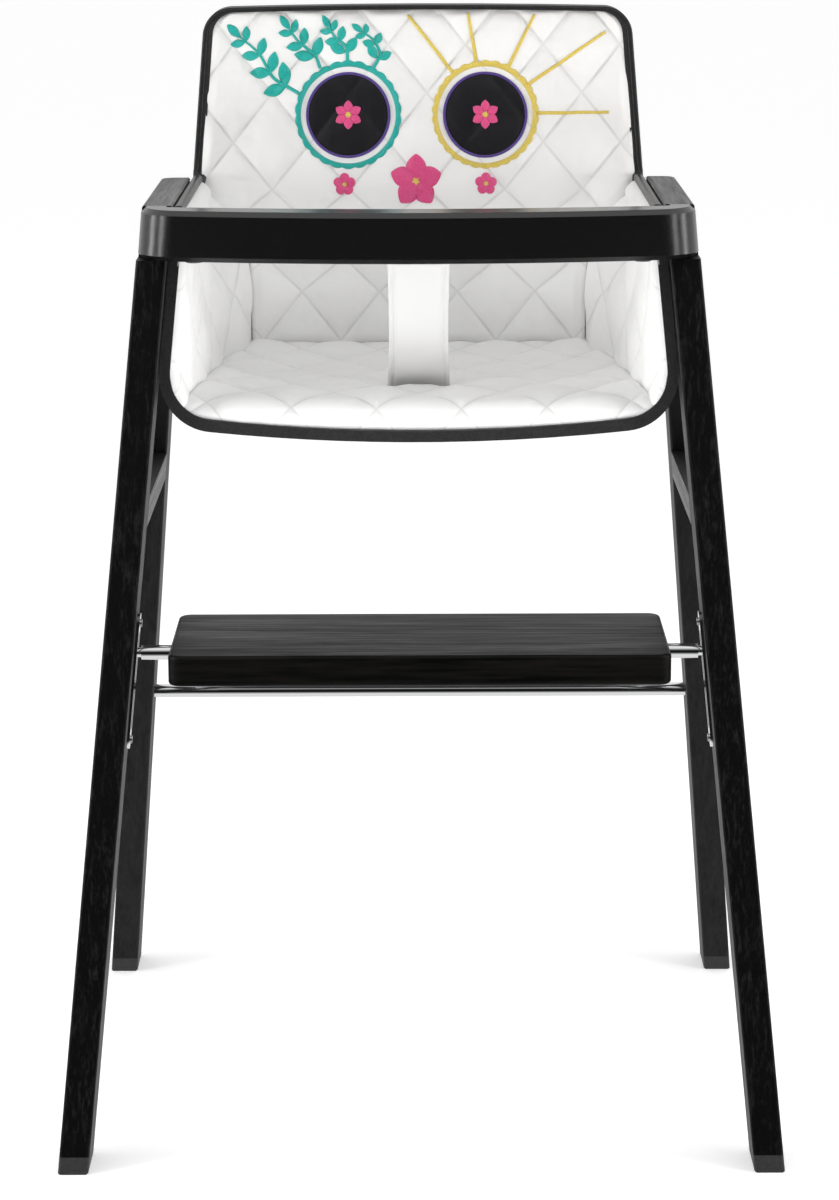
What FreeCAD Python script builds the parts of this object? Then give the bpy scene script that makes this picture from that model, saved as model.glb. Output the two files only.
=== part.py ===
import FreeCAD, Part
import math
import os

# Baby high chair. Millimetres, +Z up, front towards -Y, origin on the floor under the middle of the feet.

# Driving dimensions
WIDTH = 583.2              # over the feet
DEPTH = 576.0              # over the feet
HEIGHT = 901.0             # floor to the top of the backrest

BOARD = 24.5               # leg and armrest thickness, measured level along X
LEG_DEPTH = 51.0           # leg depth, measured level along Y
SPLAY = 0.0909             # each side frame leans inwards by this much per unit of height
FRONT_LEAN = 0.2162        # the front legs lean back
REAR_LEAN = 0.2890         # the rear legs lean forwards
LEG_EDGE = 2.5             # rounded long edges of the boards

GLIDE_HEIGHT = 14.0
GLIDE_STUD_R = 4.0
GLIDE_STUD_LENGTH = 18.0

ARM_TOP = 757.0
ARM_HEIGHT = 41.0
LEG_TOP = ARM_TOP - ARM_HEIGHT
ARM_FRONT_Y = -104.0
ARM_REAR_Y = 132.0
ARM_CORNER_R = 12.0

RAIL_BOTTOM = 498.0
RAIL_HEIGHT = 24.0
RAIL_THICKNESS = 20.0
DOWEL_R = 4.0
DOWEL_LENGTH = 36.0

ROD_R = 6.0
FOOTREST_Z = 401.5         # rod axis at rest
FOOTREST_BEHIND = 36.0     # rod axis behind the front legs' front faces
SPIGOT_R = 4.0
TRACK_LOW = 325.0
TRACK_HIGH = 433.0
TRACK_WIDTH = 17.0
TRACK_THICKNESS = 2.0
SLOT_LOW = 344.0           # slot end centres
SLOT_HIGH = 414.0
SLOT_R = 4.3
ROD_HALF = 225.4           # half the length of the rod's full-thickness middle
SPIGOT_HALF = 236.7        # half the length over the spigots
GROOVE_X = 237.7

PLANK_WIDTH = 402.0
PLANK_DEPTH = 159.0
PLANK_THICKNESS = 25.0
PLANK_ABOVE_ROD = 9.0      # the plank's top above the rod's axis
PLANK_FRONT_Y = -220.0
PLANK_CORNER_R = 11.0
PLANK_EDGE = 3.0

CROSSBAR_Z = 286.0
CROSSBAR_INSET = 12.0      # how far the crossbar enters each rear leg
CROSSBAR_HALF = WIDTH / 2 - BOARD - SPLAY * CROSSBAR_Z + CROSSBAR_INSET
BOLT_THREAD_R = 3.0
BOLT_HEAD_R = 5.5
BOLT_HEAD = 4.0

BAR_BOTTOM = 716.4         # just clear of the front legs' tops
BAR_FRONT_Y = -169.0       # front of the bar on the centre line
BAR_BOW = 29.7             # how far the bar's front falls back at its ends
BAR_THICKNESS = 37.5
BAR_CORNER_R = 38.0
BAR_EDGE = 4.0
BAR_GAP = 0.4              # bar end to armrest front
TONGUE_WIDTH = 13.0
TONGUE_HEIGHT = 11.0
TONGUE_OUT = 45.0
TONGUE_IN = 20.0
TONGUE_Z = 746.5
TONGUE_X = 211.4
TONGUE_GAP = 0.5

BUTTON_X = 180.0
BUTTON_Y = -128.0
BUTTON_R = 7.0
BUTTON_HEIGHT = 8.0
BUTTON_PROUD = 2.5
BUTTON_GAP = 0.3
SPRING_HEIGHT = 8.0
SPRING_R = 4.6
SPRING_WIRE_R = 0.6

SHELL_GAP = 0.3            # between the shell and the side frames
SHELL_WALL = 8.8
SHELL_BACK = 6.0
SHELL_TOP_LIP = 4.0
SHELL_BEHIND = 27.0        # the shell's front rim behind the front legs' front faces
SHELL_BOTTOM = 568.7
SHELL_BOW = 13.7           # the front rim's bottom edge rises by this much towards its corners
SHELL_LOW_R = 45.0
SHELL_TOP_R = 25.0
SHELL_CROWN = 2.5          # the top edge falls by this much towards its corners
SHELL_TAPER = 0.073        # above the armrests the half width falls by this much per unit of height
BACK_Y = 172.0             # shell's back at the seat's level
BACK_LEAN = 0.2069
RIM_TOP = 751.5            # the sides' rim, beside the armrests
RIM_TURN_R = 8.0           # where it turns up the backrest
SEAT_Z = 603.0
LIP_DEPTH = 30.0           # depth of the tray round the backrest
REAR_LOW_R = 34.0          # where the tub's floor turns up into its back
SHELL_SCREW_R = 2.0
SHELL_SCREW_TOP = -SHELL_GAP - SHELL_WALL + 0.4    # from the side frame's inner face
# Level outlines of the tub's outside: height; half widths at the front, at the bend and at the back;
# the bend's Y; and the radii at the bend and at the back
TUB_LEVELS = [
    (540.0, 258.0, 175.0, 157.5, 85.0, 34.0, 12.0),
    (650.0, 237.0, 188.0, 160.5, 97.0, 34.0, 12.0),
    (735.0, 222.0, 205.5, 166.0, 160.0, 24.0, 12.0),
    (800.0, 222.0, 206.5, 172.0, 190.0, 18.0, 9.0),
    (HEIGHT + 20.0, 222.0, 207.0, 196.0, 220.0, 8.0, 5.0),
]

PAD_SIDE = 8.0
PAD_BACK = 14.0
PAD_RECESS = 1.5           # the pads' edges lie below the rim
PAD_SPLIT = 0.3            # seam gap between neighbouring pads
PAD_ROLL = 16.0            # rounded front edge of the seat pad

STRAP_WIDTH = 50.0
STRAP_THICKNESS = 5.6      # measured level, the strap itself is 4 mm
STRAP_TOP = (-140.2, 716.0)
STRAP_BOTTOM = (2.0, 569.2)
STRAP_SLOT = 4.5
ANCHOR = (64.0, 30.0, 3.0)

FAR = 400.0                # larger than any half extent of the chair


def vec(x, y, z):
    return FreeCAD.Vector(x, y, z)


def box(low, high):
    size = [high[i] - low[i] for i in range(3)]
    return Part.makeBox(size[0], size[1], size[2], vec(*low))


def face_from(points):
    return Part.Face(Part.makePolygon([vec(*p) for p in points + points[:1]]))


def side_profile(points, x_low, x_high):
    """A (y, z) outline extruded across the chair."""
    face = face_from([(x_low, y, z) for y, z in points])
    return face.extrude(vec(x_high - x_low, 0, 0))


def front_profile(points, y_low, y_high):
    """An (x, z) outline extruded from front to back."""
    face = face_from([(x, y_low, z) for x, z in points])
    return face.extrude(vec(0, y_high - y_low, 0))


def plan_profile(points, z_low, z_high):
    """An (x, y) outline extruded upwards."""
    face = face_from([(x, y, z_low) for x, y in points])
    return face.extrude(vec(0, 0, z_high - z_low))


def rod(radius, start, end):
    start, end = vec(*start), vec(*end)
    return Part.makeCylinder(radius, start.distanceToPoint(end), start, end - start)


def mirrored(shape):
    return shape.mirror(vec(0, 0, 0), vec(1, 0, 0))


def edges_along(shape, direction, tolerance=0.05):
    """Straight edges that run within the tolerance of a direction."""
    unit = vec(*direction).normalize()
    found = []
    for edge in shape.Edges:
        ends = [v.Point for v in edge.Vertexes]
        if len(ends) == 2 and isinstance(edge.Curve, Part.Line):
            run = (ends[1] - ends[0]).normalize()
            if abs(run.dot(unit)) > 1 - tolerance:
                found.append(edge)
    return found


def outer_face_x(z):
    return WIDTH / 2 - SPLAY * z


def inner_face_x(z):
    return outer_face_x(z) - BOARD


def front_leg_y(z):
    return -DEPTH / 2 + FRONT_LEAN * z


def rear_leg_y(z):
    return DEPTH / 2 - LEG_DEPTH - REAR_LEAN * z


def side_slab(inset_in, inset_out, y_low=-FAR, y_high=FAR):
    """The right side frame's sloping slab, between two offsets from its inner face."""
    top = HEIGHT + 100
    points = [(inner_face_x(0) + inset_in, 0), (inner_face_x(0) + inset_out, 0),
              (inner_face_x(top) + inset_out, top), (inner_face_x(top) + inset_in, top)]
    return front_profile(points, y_low, y_high)


def side_board(points, inset_in=0.0, inset_out=BOARD):
    """A (y, z) outline cut out of the right side frame."""
    return side_profile(points, 100, FAR).common(side_slab(inset_in, inset_out)).Solids[0]


def leaning_outline(face_y, depth, low, high):
    return [(face_y(low), low), (face_y(low) + depth, low),
            (face_y(high) + depth, high), (face_y(high), high)]


def rounded_long_edges(shape, lean):
    direction = (-SPLAY, lean, 1)
    return shape.makeFillet(LEG_EDGE, edges_along(shape, direction, 0.002))


def leg_blank(face_y, lean):
    return rounded_long_edges(side_board(leaning_outline(face_y, LEG_DEPTH, GLIDE_HEIGHT, LEG_TOP)), lean)


def leg_middle(face_y, z):
    """The centre of a right leg's section at a height."""
    return inner_face_x(z) + BOARD / 2, face_y(z) + LEG_DEPTH / 2


def glide_stud(face_y, lean, radius):
    x, y = leg_middle(face_y, GLIDE_HEIGHT)
    rise = GLIDE_STUD_LENGTH
    return rod(radius, (x, y, GLIDE_HEIGHT - 1), (x - SPLAY * rise, y + lean * rise, GLIDE_HEIGHT + rise))


def glide(face_y, lean):
    """A moulded foot with a stud that fits up into the leg."""
    foot = rounded_long_edges(side_board(leaning_outline(face_y, LEG_DEPTH, 0, GLIDE_HEIGHT)), lean)
    under = [e for e in foot.Edges if all(abs(v.Z) < 0.01 for v in e.Vertexes)]
    foot = foot.makeChamfer(1.2, under)
    return foot.fuse(glide_stud(face_y, lean, GLIDE_STUD_R)).removeSplitter()


def rail_dowel_axes():
    """Start and end of each right-hand rail dowel, front then rear."""
    z = RAIL_BOTTOM + RAIL_HEIGHT / 2
    x = inner_face_x(z) + RAIL_THICKNESS / 2
    front = front_leg_y(z) + LEG_DEPTH
    rear = rear_leg_y(z)
    half = DOWEL_LENGTH / 2
    return [((x, y - half, z), (x, y + half, z)) for y in (front, rear)]


def arm_dowel_axes():
    """Start and end of each right-hand armrest dowel: one over the front leg, two over the rear leg."""
    low, high = LEG_TOP - 20, LEG_TOP + 15
    x = inner_face_x(LEG_TOP) + BOARD / 2
    rear = rear_leg_y(LEG_TOP)
    places = (ARM_FRONT_Y + 11, rear + 16, rear + 36)
    return [((x, y, low), (x, y, high)) for y in places]


def dowels(axes):
    return [rod(DOWEL_R, start, end) for start, end in axes]


def cut_all(shape, tools):
    for tool in tools:
        shape = shape.cut(tool)
    return shape.Solids[0] if len(shape.Solids) == 1 else shape


def rod_axis_y(z):
    return front_leg_y(z) + FOOTREST_BEHIND


def track_stadium(low, high, radius, x_low, x_high):
    """A round-ended bar along the front leg, extruded across it."""
    middle = [(rod_axis_y(z), z) for z in (low, high)]
    side = vec(0, 1, -FRONT_LEAN).normalize() * radius
    outline = [(middle[0][0] - side.y, low - side.z), (middle[0][0] + side.y, low + side.z),
               (middle[1][0] + side.y, high + side.z), (middle[1][0] - side.y, high - side.z)]
    shape = side_profile(outline, x_low, x_high)
    for y, z in middle:
        shape = shape.fuse(rod(radius, (x_low, y, z), (x_high, y, z)))
    return shape.removeSplitter()


def across_frame(radius, y, z, start, end):
    """A cylinder square to the right side frame, between two offsets from its inner face."""
    normal = vec(1, 0, SPLAY).normalize()
    foot = vec(inner_face_x(z), y, z)
    return Part.makeCylinder(radius, end - start, foot + normal * start, normal)


def track_screw_places():
    return [(rod_axis_y(z), z) for z in (TRACK_LOW + 8, TRACK_HIGH - 8)]


def footrest_track():
    half = TRACK_WIDTH / 2
    plate = track_stadium(TRACK_LOW + half, TRACK_HIGH - half, half, 150, 300)
    plate = plate.common(side_slab(-TRACK_THICKNESS, 0))
    plate = plate.cut(track_stadium(SLOT_LOW, SLOT_HIGH, SLOT_R, 150, 300))
    holes = [across_frame(1.75, y, z, -10, 10) for y, z in track_screw_places()]
    return cut_all(plate, holes)


def track_screws():
    made = []
    for y, z in track_screw_places():
        head = across_frame(3.2, y, z, -TRACK_THICKNESS - 1.6, -TRACK_THICKNESS)
        head = head.cut(across_frame(1.3, y, z, -TRACK_THICKNESS - 2, -TRACK_THICKNESS - 0.8))
        made.append(head.fuse(across_frame(1.75, y, z, -TRACK_THICKNESS, 14)).removeSplitter())
    return made


def rear_crossbar_y():
    return rear_leg_y(CROSSBAR_Z) + LEG_DEPTH / 2


def crossbar_bolt():
    y, z = rear_crossbar_y(), CROSSBAR_Z
    end = outer_face_x(z) - 1.0
    thread = rod(BOLT_THREAD_R, (CROSSBAR_HALF - 18, y, z), (end - 1, y, z))
    head = rod(BOLT_HEAD_R, (end - BOLT_HEAD, y, z), (end, y, z))
    socket = rod(2.0, (end - 2.5, y, z), (end + 1, y, z))
    return thread.fuse(head).removeSplitter().cut(socket)


def crossbar_holes():
    """The stepped hole through a right rear leg for the crossbar and its bolt."""
    y, z = rear_crossbar_y(), CROSSBAR_Z
    end = outer_face_x(z) - 1.0
    return [rod(ROD_R, (100, y, z), (CROSSBAR_HALF, y, z)),
            rod(BOLT_THREAD_R, (CROSSBAR_HALF - 1, y, z), (end, y, z)),
            rod(BOLT_HEAD_R, (end - BOLT_HEAD, y, z), (FAR, y, z))]


def crossbar():
    y, z = rear_crossbar_y(), CROSSBAR_Z
    shape = rod(ROD_R, (-CROSSBAR_HALF, y, z), (CROSSBAR_HALF, y, z))
    for sign in (-1, 1):
        shape = shape.cut(rod(BOLT_THREAD_R, (sign * (CROSSBAR_HALF - 18), y, z), (sign * FAR, y, z)))
    return shape


def shell_screw_places():
    """Where the shell is screwed to the right side frame: the front leg and the armrest."""
    z = 650.0
    return [(front_leg_y(z) + LEG_DEPTH - 12, z), (0.0, ARM_TOP - 23)]


def shell_screw_blanks():
    """Countersunk screws without their sockets, which also serve to cut their holes."""
    made = []
    for y, z in shell_screw_places():
        shank = across_frame(SHELL_SCREW_R, y, z, SHELL_SCREW_TOP + 2, 16)
        normal = vec(1, 0, SPLAY).normalize()
        foot = vec(inner_face_x(z), y, z) + normal * SHELL_SCREW_TOP
        head = Part.makeCone(4.5, SHELL_SCREW_R, 2.5, foot, normal)
        made.append(head.fuse(shank).removeSplitter())
    return made


def shell_screws():
    sockets = [across_frame(1.3, y, z, SHELL_SCREW_TOP - 1, SHELL_SCREW_TOP + 1.4)
               for y, z in shell_screw_places()]
    return [blank.cut(socket) for blank, socket in zip(shell_screw_blanks(), sockets)]


def shell_screw_mouths():
    """The short open mouths above the sunk screw heads."""
    return [across_frame(4.5, y, z, SHELL_SCREW_TOP - 3, SHELL_SCREW_TOP) for y, z in shell_screw_places()]


def front_leg():
    leg = leg_blank(front_leg_y, FRONT_LEAN)
    tools = [glide_stud(front_leg_y, FRONT_LEAN, GLIDE_STUD_R)]
    tools += dowels(rail_dowel_axes()[:1]) + dowels(arm_dowel_axes()[:1])
    tools.append(track_stadium(SLOT_LOW, SLOT_HIGH, SLOT_R, 150, GROOVE_X))
    return cut_all(leg, tools + track_screws() + shell_screw_blanks()[:1])


def rear_leg():
    leg = leg_blank(rear_leg_y, -REAR_LEAN)
    tools = [glide_stud(rear_leg_y, -REAR_LEAN, GLIDE_STUD_R)]
    tools += dowels(rail_dowel_axes()[1:]) + dowels(arm_dowel_axes()[1:])
    return cut_all(leg, tools + crossbar_holes())


def side_rail():
    low, high = RAIL_BOTTOM, RAIL_BOTTOM + RAIL_HEIGHT
    points = [(front_leg_y(low) + LEG_DEPTH, low), (rear_leg_y(low), low),
              (rear_leg_y(high), high), (front_leg_y(high) + LEG_DEPTH, high)]
    return cut_all(side_board(points, 0, RAIL_THICKNESS), dowels(rail_dowel_axes()))


def tongue_box(clearance, y_low, y_high):
    half = TONGUE_WIDTH / 2 + clearance
    rise = TONGUE_HEIGHT / 2 + clearance
    return box((TONGUE_X - half, y_low, TONGUE_Z - rise), (TONGUE_X + half, y_high, TONGUE_Z + rise))


def armrest():
    points = [(ARM_FRONT_Y, LEG_TOP), (ARM_REAR_Y, LEG_TOP), (ARM_REAR_Y, ARM_TOP), (ARM_FRONT_Y, ARM_TOP)]
    arm = side_board(points)
    rear = [e for e in edges_along(arm, (-SPLAY, 0, 1), 0.002) if e.Vertexes[0].Y > 0]
    outer = [e for e in rear if e.CenterOfMass.x > inner_face_x(ARM_TOP - ARM_HEIGHT / 2) + BOARD / 2]
    arm = arm.makeFillet(ARM_CORNER_R, outer)
    top = [e for e in arm.Edges if all(abs(v.Z - ARM_TOP) < 0.01 for v in e.Vertexes)]
    top = [e for e in top if e.CenterOfMass.y > ARM_FRONT_Y + 0.1]
    arm = arm.makeFillet(2.0, top)
    pocket = tongue_box(TONGUE_GAP, ARM_FRONT_Y - 1, ARM_FRONT_Y + TONGUE_OUT + 1)
    return cut_all(arm, [pocket] + dowels(arm_dowel_axes()) + shell_screw_blanks()[1:])


def footrest_rod():
    y, z = rod_axis_y(FOOTREST_Z), FOOTREST_Z
    shape = rod(ROD_R, (-ROD_HALF, y, z), (ROD_HALF, y, z))
    return shape.fuse(rod(SPIGOT_R, (-SPIGOT_HALF, y, z), (SPIGOT_HALF, y, z))).removeSplitter()


def plank_screws():
    """Set screws up through the plank's underside onto the rod."""
    y = rod_axis_y(FOOTREST_Z)
    low = FOOTREST_Z + PLANK_ABOVE_ROD - PLANK_THICKNESS
    made = []
    for x in (-150, 150):
        screw = rod(2.5, (x, y, low), (x, y, FOOTREST_Z - ROD_R + 0.02))
        made.append(screw.cut(rod(1.25, (x, y, low - 1), (x, y, low + 2))))
    return made


def footrest_plank():
    low = FOOTREST_Z + PLANK_ABOVE_ROD - PLANK_THICKNESS
    half = PLANK_WIDTH / 2
    plank = box((-half, PLANK_FRONT_Y, low), (half, PLANK_FRONT_Y + PLANK_DEPTH, low + PLANK_THICKNESS))
    plank = plank.makeFillet(PLANK_CORNER_R, edges_along(plank, (0, 0, 1)))
    rims = [e for e in plank.Edges if abs(e.BoundBox.ZLength) < 0.01]
    plank = plank.makeFillet(PLANK_EDGE, rims)
    y = rod_axis_y(FOOTREST_Z)
    rod_hole = rod(ROD_R, (-FAR, y, FOOTREST_Z), (FAR, y, FOOTREST_Z))
    screws = [rod(2.5, (x, y, low - 1), (x, y, FOOTREST_Z)) for x in (-150, 150)]
    return cut_all(plank, [rod_hole] + screws)


def bar_outline():
    """The bar from above: a bowed beam whose ends turn back to meet the armrests."""
    end_y = ARM_FRONT_Y - BAR_GAP
    inner_x = inner_face_x(BAR_BOTTOM) + 0.6
    outer_x = outer_face_x(BAR_BOTTOM)
    front_end = BAR_FRONT_Y + BAR_BOW
    back_end = end_y - 6
    back_mid = BAR_FRONT_Y + BAR_THICKNESS
    front = Part.Arc(vec(-outer_x, front_end, 0), vec(0, BAR_FRONT_Y, 0), vec(outer_x, front_end, 0))
    back = Part.Arc(vec(inner_x, back_end, 0), vec(0, back_mid, 0), vec(-inner_x, back_end, 0))
    right = [vec(outer_x, front_end, 0), vec(outer_x, end_y, 0),
             vec(inner_x, end_y, 0), vec(inner_x, back_end, 0)]
    left = [vec(-p.x, p.y, 0) for p in reversed(right)]
    edges = [front.toShape()]
    edges += [Part.makeLine(a, b) for a, b in zip(right, right[1:])]
    edges.append(back.toShape())
    edges += [Part.makeLine(a, b) for a, b in zip(left, left[1:])]
    return Part.Wire(edges)


def button_pocket():
    top = BAR_BOTTOM + BUTTON_HEIGHT - BUTTON_PROUD + SPRING_HEIGHT
    return rod(BUTTON_R + BUTTON_GAP, (BUTTON_X, BUTTON_Y, BAR_BOTTOM - 1), (BUTTON_X, BUTTON_Y, top))


def tongue_screw():
    y = ARM_FRONT_Y - TONGUE_IN / 2
    low = BAR_BOTTOM + 3
    head = rod(3.5, (TONGUE_X, y, low), (TONGUE_X, y, low + 3))
    shank = rod(1.75, (TONGUE_X, y, low + 2), (TONGUE_X, y, TONGUE_Z + 3))
    return head.fuse(shank).removeSplitter().cut(rod(1.2, (TONGUE_X, y, low - 1), (TONGUE_X, y, low + 1.5)))


def tongue_screw_hole():
    y = ARM_FRONT_Y - TONGUE_IN / 2
    return rod(3.5, (TONGUE_X, y, BAR_BOTTOM - 1), (TONGUE_X, y, BAR_BOTTOM + 6))


def bumper_bar():
    bar = Part.Face(bar_outline()).extrude(vec(0, 0, ARM_TOP - BAR_BOTTOM))
    bar.translate(vec(0, 0, BAR_BOTTOM))
    sloping_ends = front_profile([(-outer_face_x(0), 0), (outer_face_x(0), 0),
                                  (outer_face_x(HEIGHT), HEIGHT), (-outer_face_x(HEIGHT), HEIGHT)], -FAR, FAR)
    bar = bar.common(sloping_ends).Solids[0]
    corners = [e for e in bar.Edges if e.BoundBox.ZLength > 10 and abs(e.CenterOfMass.x) > inner_face_x(0) - 60
               and BAR_FRONT_Y < e.CenterOfMass.y < ARM_FRONT_Y - 12]
    bar = bar.makeFillet(BAR_CORNER_R, corners)
    rims = [e for e in bar.Edges if e.BoundBox.ZLength < 0.01 and e.CenterOfMass.y < ARM_FRONT_Y - 8]
    bar = bar.makeChamfer(BAR_EDGE, rims)
    tools = []
    for make in (button_pocket, tongue_screw, tongue_screw_hole):
        tools += [make(), mirrored(make())]
    pocket = tongue_box(0, ARM_FRONT_Y - TONGUE_IN, ARM_FRONT_Y + 1)
    return cut_all(bar, tools + [pocket, mirrored(pocket)])


def bar_tongue():
    tongue = tongue_box(0, ARM_FRONT_Y - TONGUE_IN, ARM_FRONT_Y + TONGUE_OUT)
    nose = [e for e in tongue.Edges if all(v.Y > ARM_FRONT_Y + TONGUE_OUT - 0.01 for v in e.Vertexes)]
    return tongue.makeChamfer(2.0, nose).cut(tongue_screw())


def release_button():
    low = BAR_BOTTOM - BUTTON_PROUD
    button = rod(BUTTON_R, (BUTTON_X, BUTTON_Y, low), (BUTTON_X, BUTTON_Y, low + BUTTON_HEIGHT))
    under = [e for e in button.Edges if e.BoundBox.ZMax < low + 0.01]
    return button.makeFillet(1.0, under)


def button_spring(x):
    """A closed coil of four turns between the button and its pocket's end."""
    low = BAR_BOTTOM - BUTTON_PROUD + BUTTON_HEIGHT
    turns, radius = 4, SPRING_R - SPRING_WIRE_R
    rise = SPRING_HEIGHT - 2 * SPRING_WIRE_R
    helix = Part.Wire(Part.makeHelix(rise / turns, rise, radius))
    section = Part.Wire(Part.makeCircle(SPRING_WIRE_R, vec(radius, 0, 0), vec(0, 1, 0)))
    coil = helix.makePipeShell([section], True, True)
    coil.translate(vec(x, BUTTON_Y, low + SPRING_WIRE_R))
    return coil


# The tub: every surface is the shell's outside moved inwards by a side, back, floor and top inset.

def back_y(z):
    return BACK_Y + BACK_LEAN * (z - 605.0)


def shell_side_x(z):
    """The shell's outer half width: it follows the side frame up to the armrest, then narrows."""
    joint = RIM_TOP
    if z <= joint:
        return inner_face_x(z) - SHELL_GAP
    return inner_face_x(joint) - SHELL_GAP - SHELL_TAPER * (z - joint)


def tub_outline(side, floor, top):
    """The tub seen from the front, as one extruded outline with its corners rounded."""
    low_z = SHELL_BOTTOM + floor
    bow = SHELL_BOW if floor < 20 else 2.0
    corner_z = low_z + bow
    joint = RIM_TOP
    high_z = HEIGHT - top
    shoulder_z = high_z - SHELL_CROWN
    right = [vec(shell_side_x(corner_z) - side, 0, corner_z), vec(shell_side_x(joint) - side, 0, joint),
             vec(shell_side_x(shoulder_z) - side, 0, shoulder_z)]
    left = [vec(-p.x, 0, p.z) for p in reversed(right)]
    edges = [Part.Arc(left[-1], vec(0, 0, low_z), right[0]).toShape()]
    edges += [Part.makeLine(a, b) for a, b in zip(right, right[1:])]
    edges.append(Part.Arc(right[-1], vec(0, 0, high_z), left[0]).toShape())
    edges += [Part.makeLine(a, b) for a, b in zip(left, left[1:])]
    solid = Part.Face(Part.Wire(edges)).extrude(vec(0, 2 * FAR, 0))
    solid.translate(vec(0, -FAR, 0))
    along = edges_along(solid, (0, 1, 0))
    low = [e for e in along if abs(e.CenterOfMass.z - corner_z) < 0.1]
    solid = solid.makeFillet(SHELL_LOW_R - side, low)
    high = [e for e in edges_along(solid, (0, 1, 0)) if abs(e.CenterOfMass.z - shoulder_z) < 0.1]
    return solid.makeFillet(SHELL_TOP_R - side * 0.6, high)


def rounded_wire(corners):
    """A closed level outline whose corners, each (x, y, z, radius), are tangent arcs."""
    edges, starts, ends = [], [], []
    count = len(corners)
    for i, (x, y, z, radius) in enumerate(corners):
        here = vec(x, y, z)
        back = (vec(*corners[i - 1][:3]) - here).normalize()
        ahead = (vec(*corners[(i + 1) % count][:3]) - here).normalize()
        half = back.getAngle(ahead) / 2
        reach = radius / math.tan(half)
        middle = (back + ahead).normalize()
        starts.append(here + back * reach)
        ends.append(here + ahead * reach)
        nearest = here + middle * (radius / math.sin(half) - radius)
        edges.append(Part.Arc(starts[i], nearest, ends[i]).toShape())
    wire = []
    for i in range(count):
        wire += [edges[i], Part.makeLine(ends[i], starts[(i + 1) % count])]
    return Part.Wire(wire)


def tub_plan(side, back):
    """The tub narrows towards its back: level outlines joined by ruled faces."""
    wires = []
    for z, front_x, bend_x, seam_x, bend_y, bend_r, seam_r in TUB_LEVELS:
        bend = bend_y - back * 0.6
        half = [(front_x - side, -FAR, z, 5.0), (bend_x - side, bend, z, bend_r),
                (seam_x - side, back_y(z) - back, z, seam_r)]
        corners = half + [(-x, y, z, r) for x, y, z, r in reversed(half)]
        wires.append(rounded_wire(corners))
    return Part.makeLoft(wires, True, True)


def rear_low_corner(back, floor):
    """What is cut away to round the tub's lower rear edge."""
    low = SHELL_BOTTOM + floor
    radius = REAR_LOW_R - back
    centre_z = low + radius
    centre_y = back_y(centre_z) - back - radius
    corner = box((-FAR, centre_y, low - 60), (FAR, centre_y + 3 * radius, centre_z))
    return corner.cut(rod(radius, (-FAR, centre_y, centre_z), (FAR, centre_y, centre_z)))


def tub(side, back, floor, top):
    shape = tub_outline(side, floor, top).common(tub_plan(side, back))
    return shape.cut(rear_low_corner(back, floor)).Solids[0]


def rim_side_view(recess):
    """What the rim encloses, seen from the side: behind the front rim, under the arm line, up the back."""
    low, high = 540.0, HEIGHT + 8
    top = RIM_TOP - recess
    front = -DEPTH / 2 + SHELL_BEHIND + recess
    lip = BACK_Y - LIP_DEPTH + recess
    lip_at = [lip + BACK_LEAN * (z - 605.0) for z in (top, high)]
    points = [(front + FRONT_LEAN * low, low), (front + FRONT_LEAN * top, top), (lip_at[0], top),
              (lip_at[1], high), (FAR, high), (FAR, low)]
    solid = side_profile(points, -FAR, FAR)
    across = edges_along(solid, (1, 0, 0))
    inner = [e for e in across
             if abs(e.CenterOfMass.y - lip_at[0]) < 0.1 and abs(e.CenterOfMass.z - top) < 0.1]
    solid = solid.makeFillet(RIM_TURN_R, inner)
    nose = [e for e in edges_along(solid, (1, 0, 0))
            if abs(e.CenterOfMass.z - top) < 0.1 and e.CenterOfMass.y < 0]
    return solid.makeFillet(12.0, nose)


def cavity():
    return tub(SHELL_WALL, SHELL_BACK, SHELL_WALL, SHELL_TOP_LIP)


def strap_slab(margin, low_z, high_z, half_width):
    """A slanting slab along the strap's line, between two heights."""
    (top_y, top_z), (bottom_y, bottom_z) = STRAP_TOP, STRAP_BOTTOM
    slope = (top_y - bottom_y) / (top_z - bottom_z)
    half = STRAP_THICKNESS / 2 + margin
    at_low = bottom_y + slope * (low_z - bottom_z)
    at_high = bottom_y + slope * (high_z - bottom_z)
    points = [(at_low - half, low_z), (at_low + half, low_z),
              (at_high + half, high_z), (at_high - half, high_z)]
    return side_profile(points, -half_width, half_width)


def strap_slot():
    margin = STRAP_SLOT - STRAP_THICKNESS / 2
    return strap_slab(margin, SHELL_BOTTOM - 10, SEAT_Z + 20, STRAP_WIDTH / 2 + 1)


def anchor_screws():
    made = []
    for x in (-ANCHOR[0] / 2 + 5, ANCHOR[0] / 2 - 5):
        y = STRAP_BOTTOM[0] + ANCHOR[1] / 2 - 6
        low = SHELL_BOTTOM - ANCHOR[2]
        head = rod(3.5, (x, y, low - 2), (x, y, low))
        shank = rod(1.75, (x, y, low - 1), (x, y, SHELL_BOTTOM + 6))
        made.append(head.fuse(shank).removeSplitter().cut(rod(1.2, (x, y, low - 3), (x, y, low - 1))))
    return made


def strap_anchor():
    width, depth, thickness = ANCHOR
    y = STRAP_BOTTOM[0] - 6
    plate = box((-width / 2, y, SHELL_BOTTOM - thickness), (width / 2, y + depth - 4, SHELL_BOTTOM))
    plate = plate.makeFillet(4.0, edges_along(plate, (0, 0, 1)))
    return cut_all(plate, anchor_screws())


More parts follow.
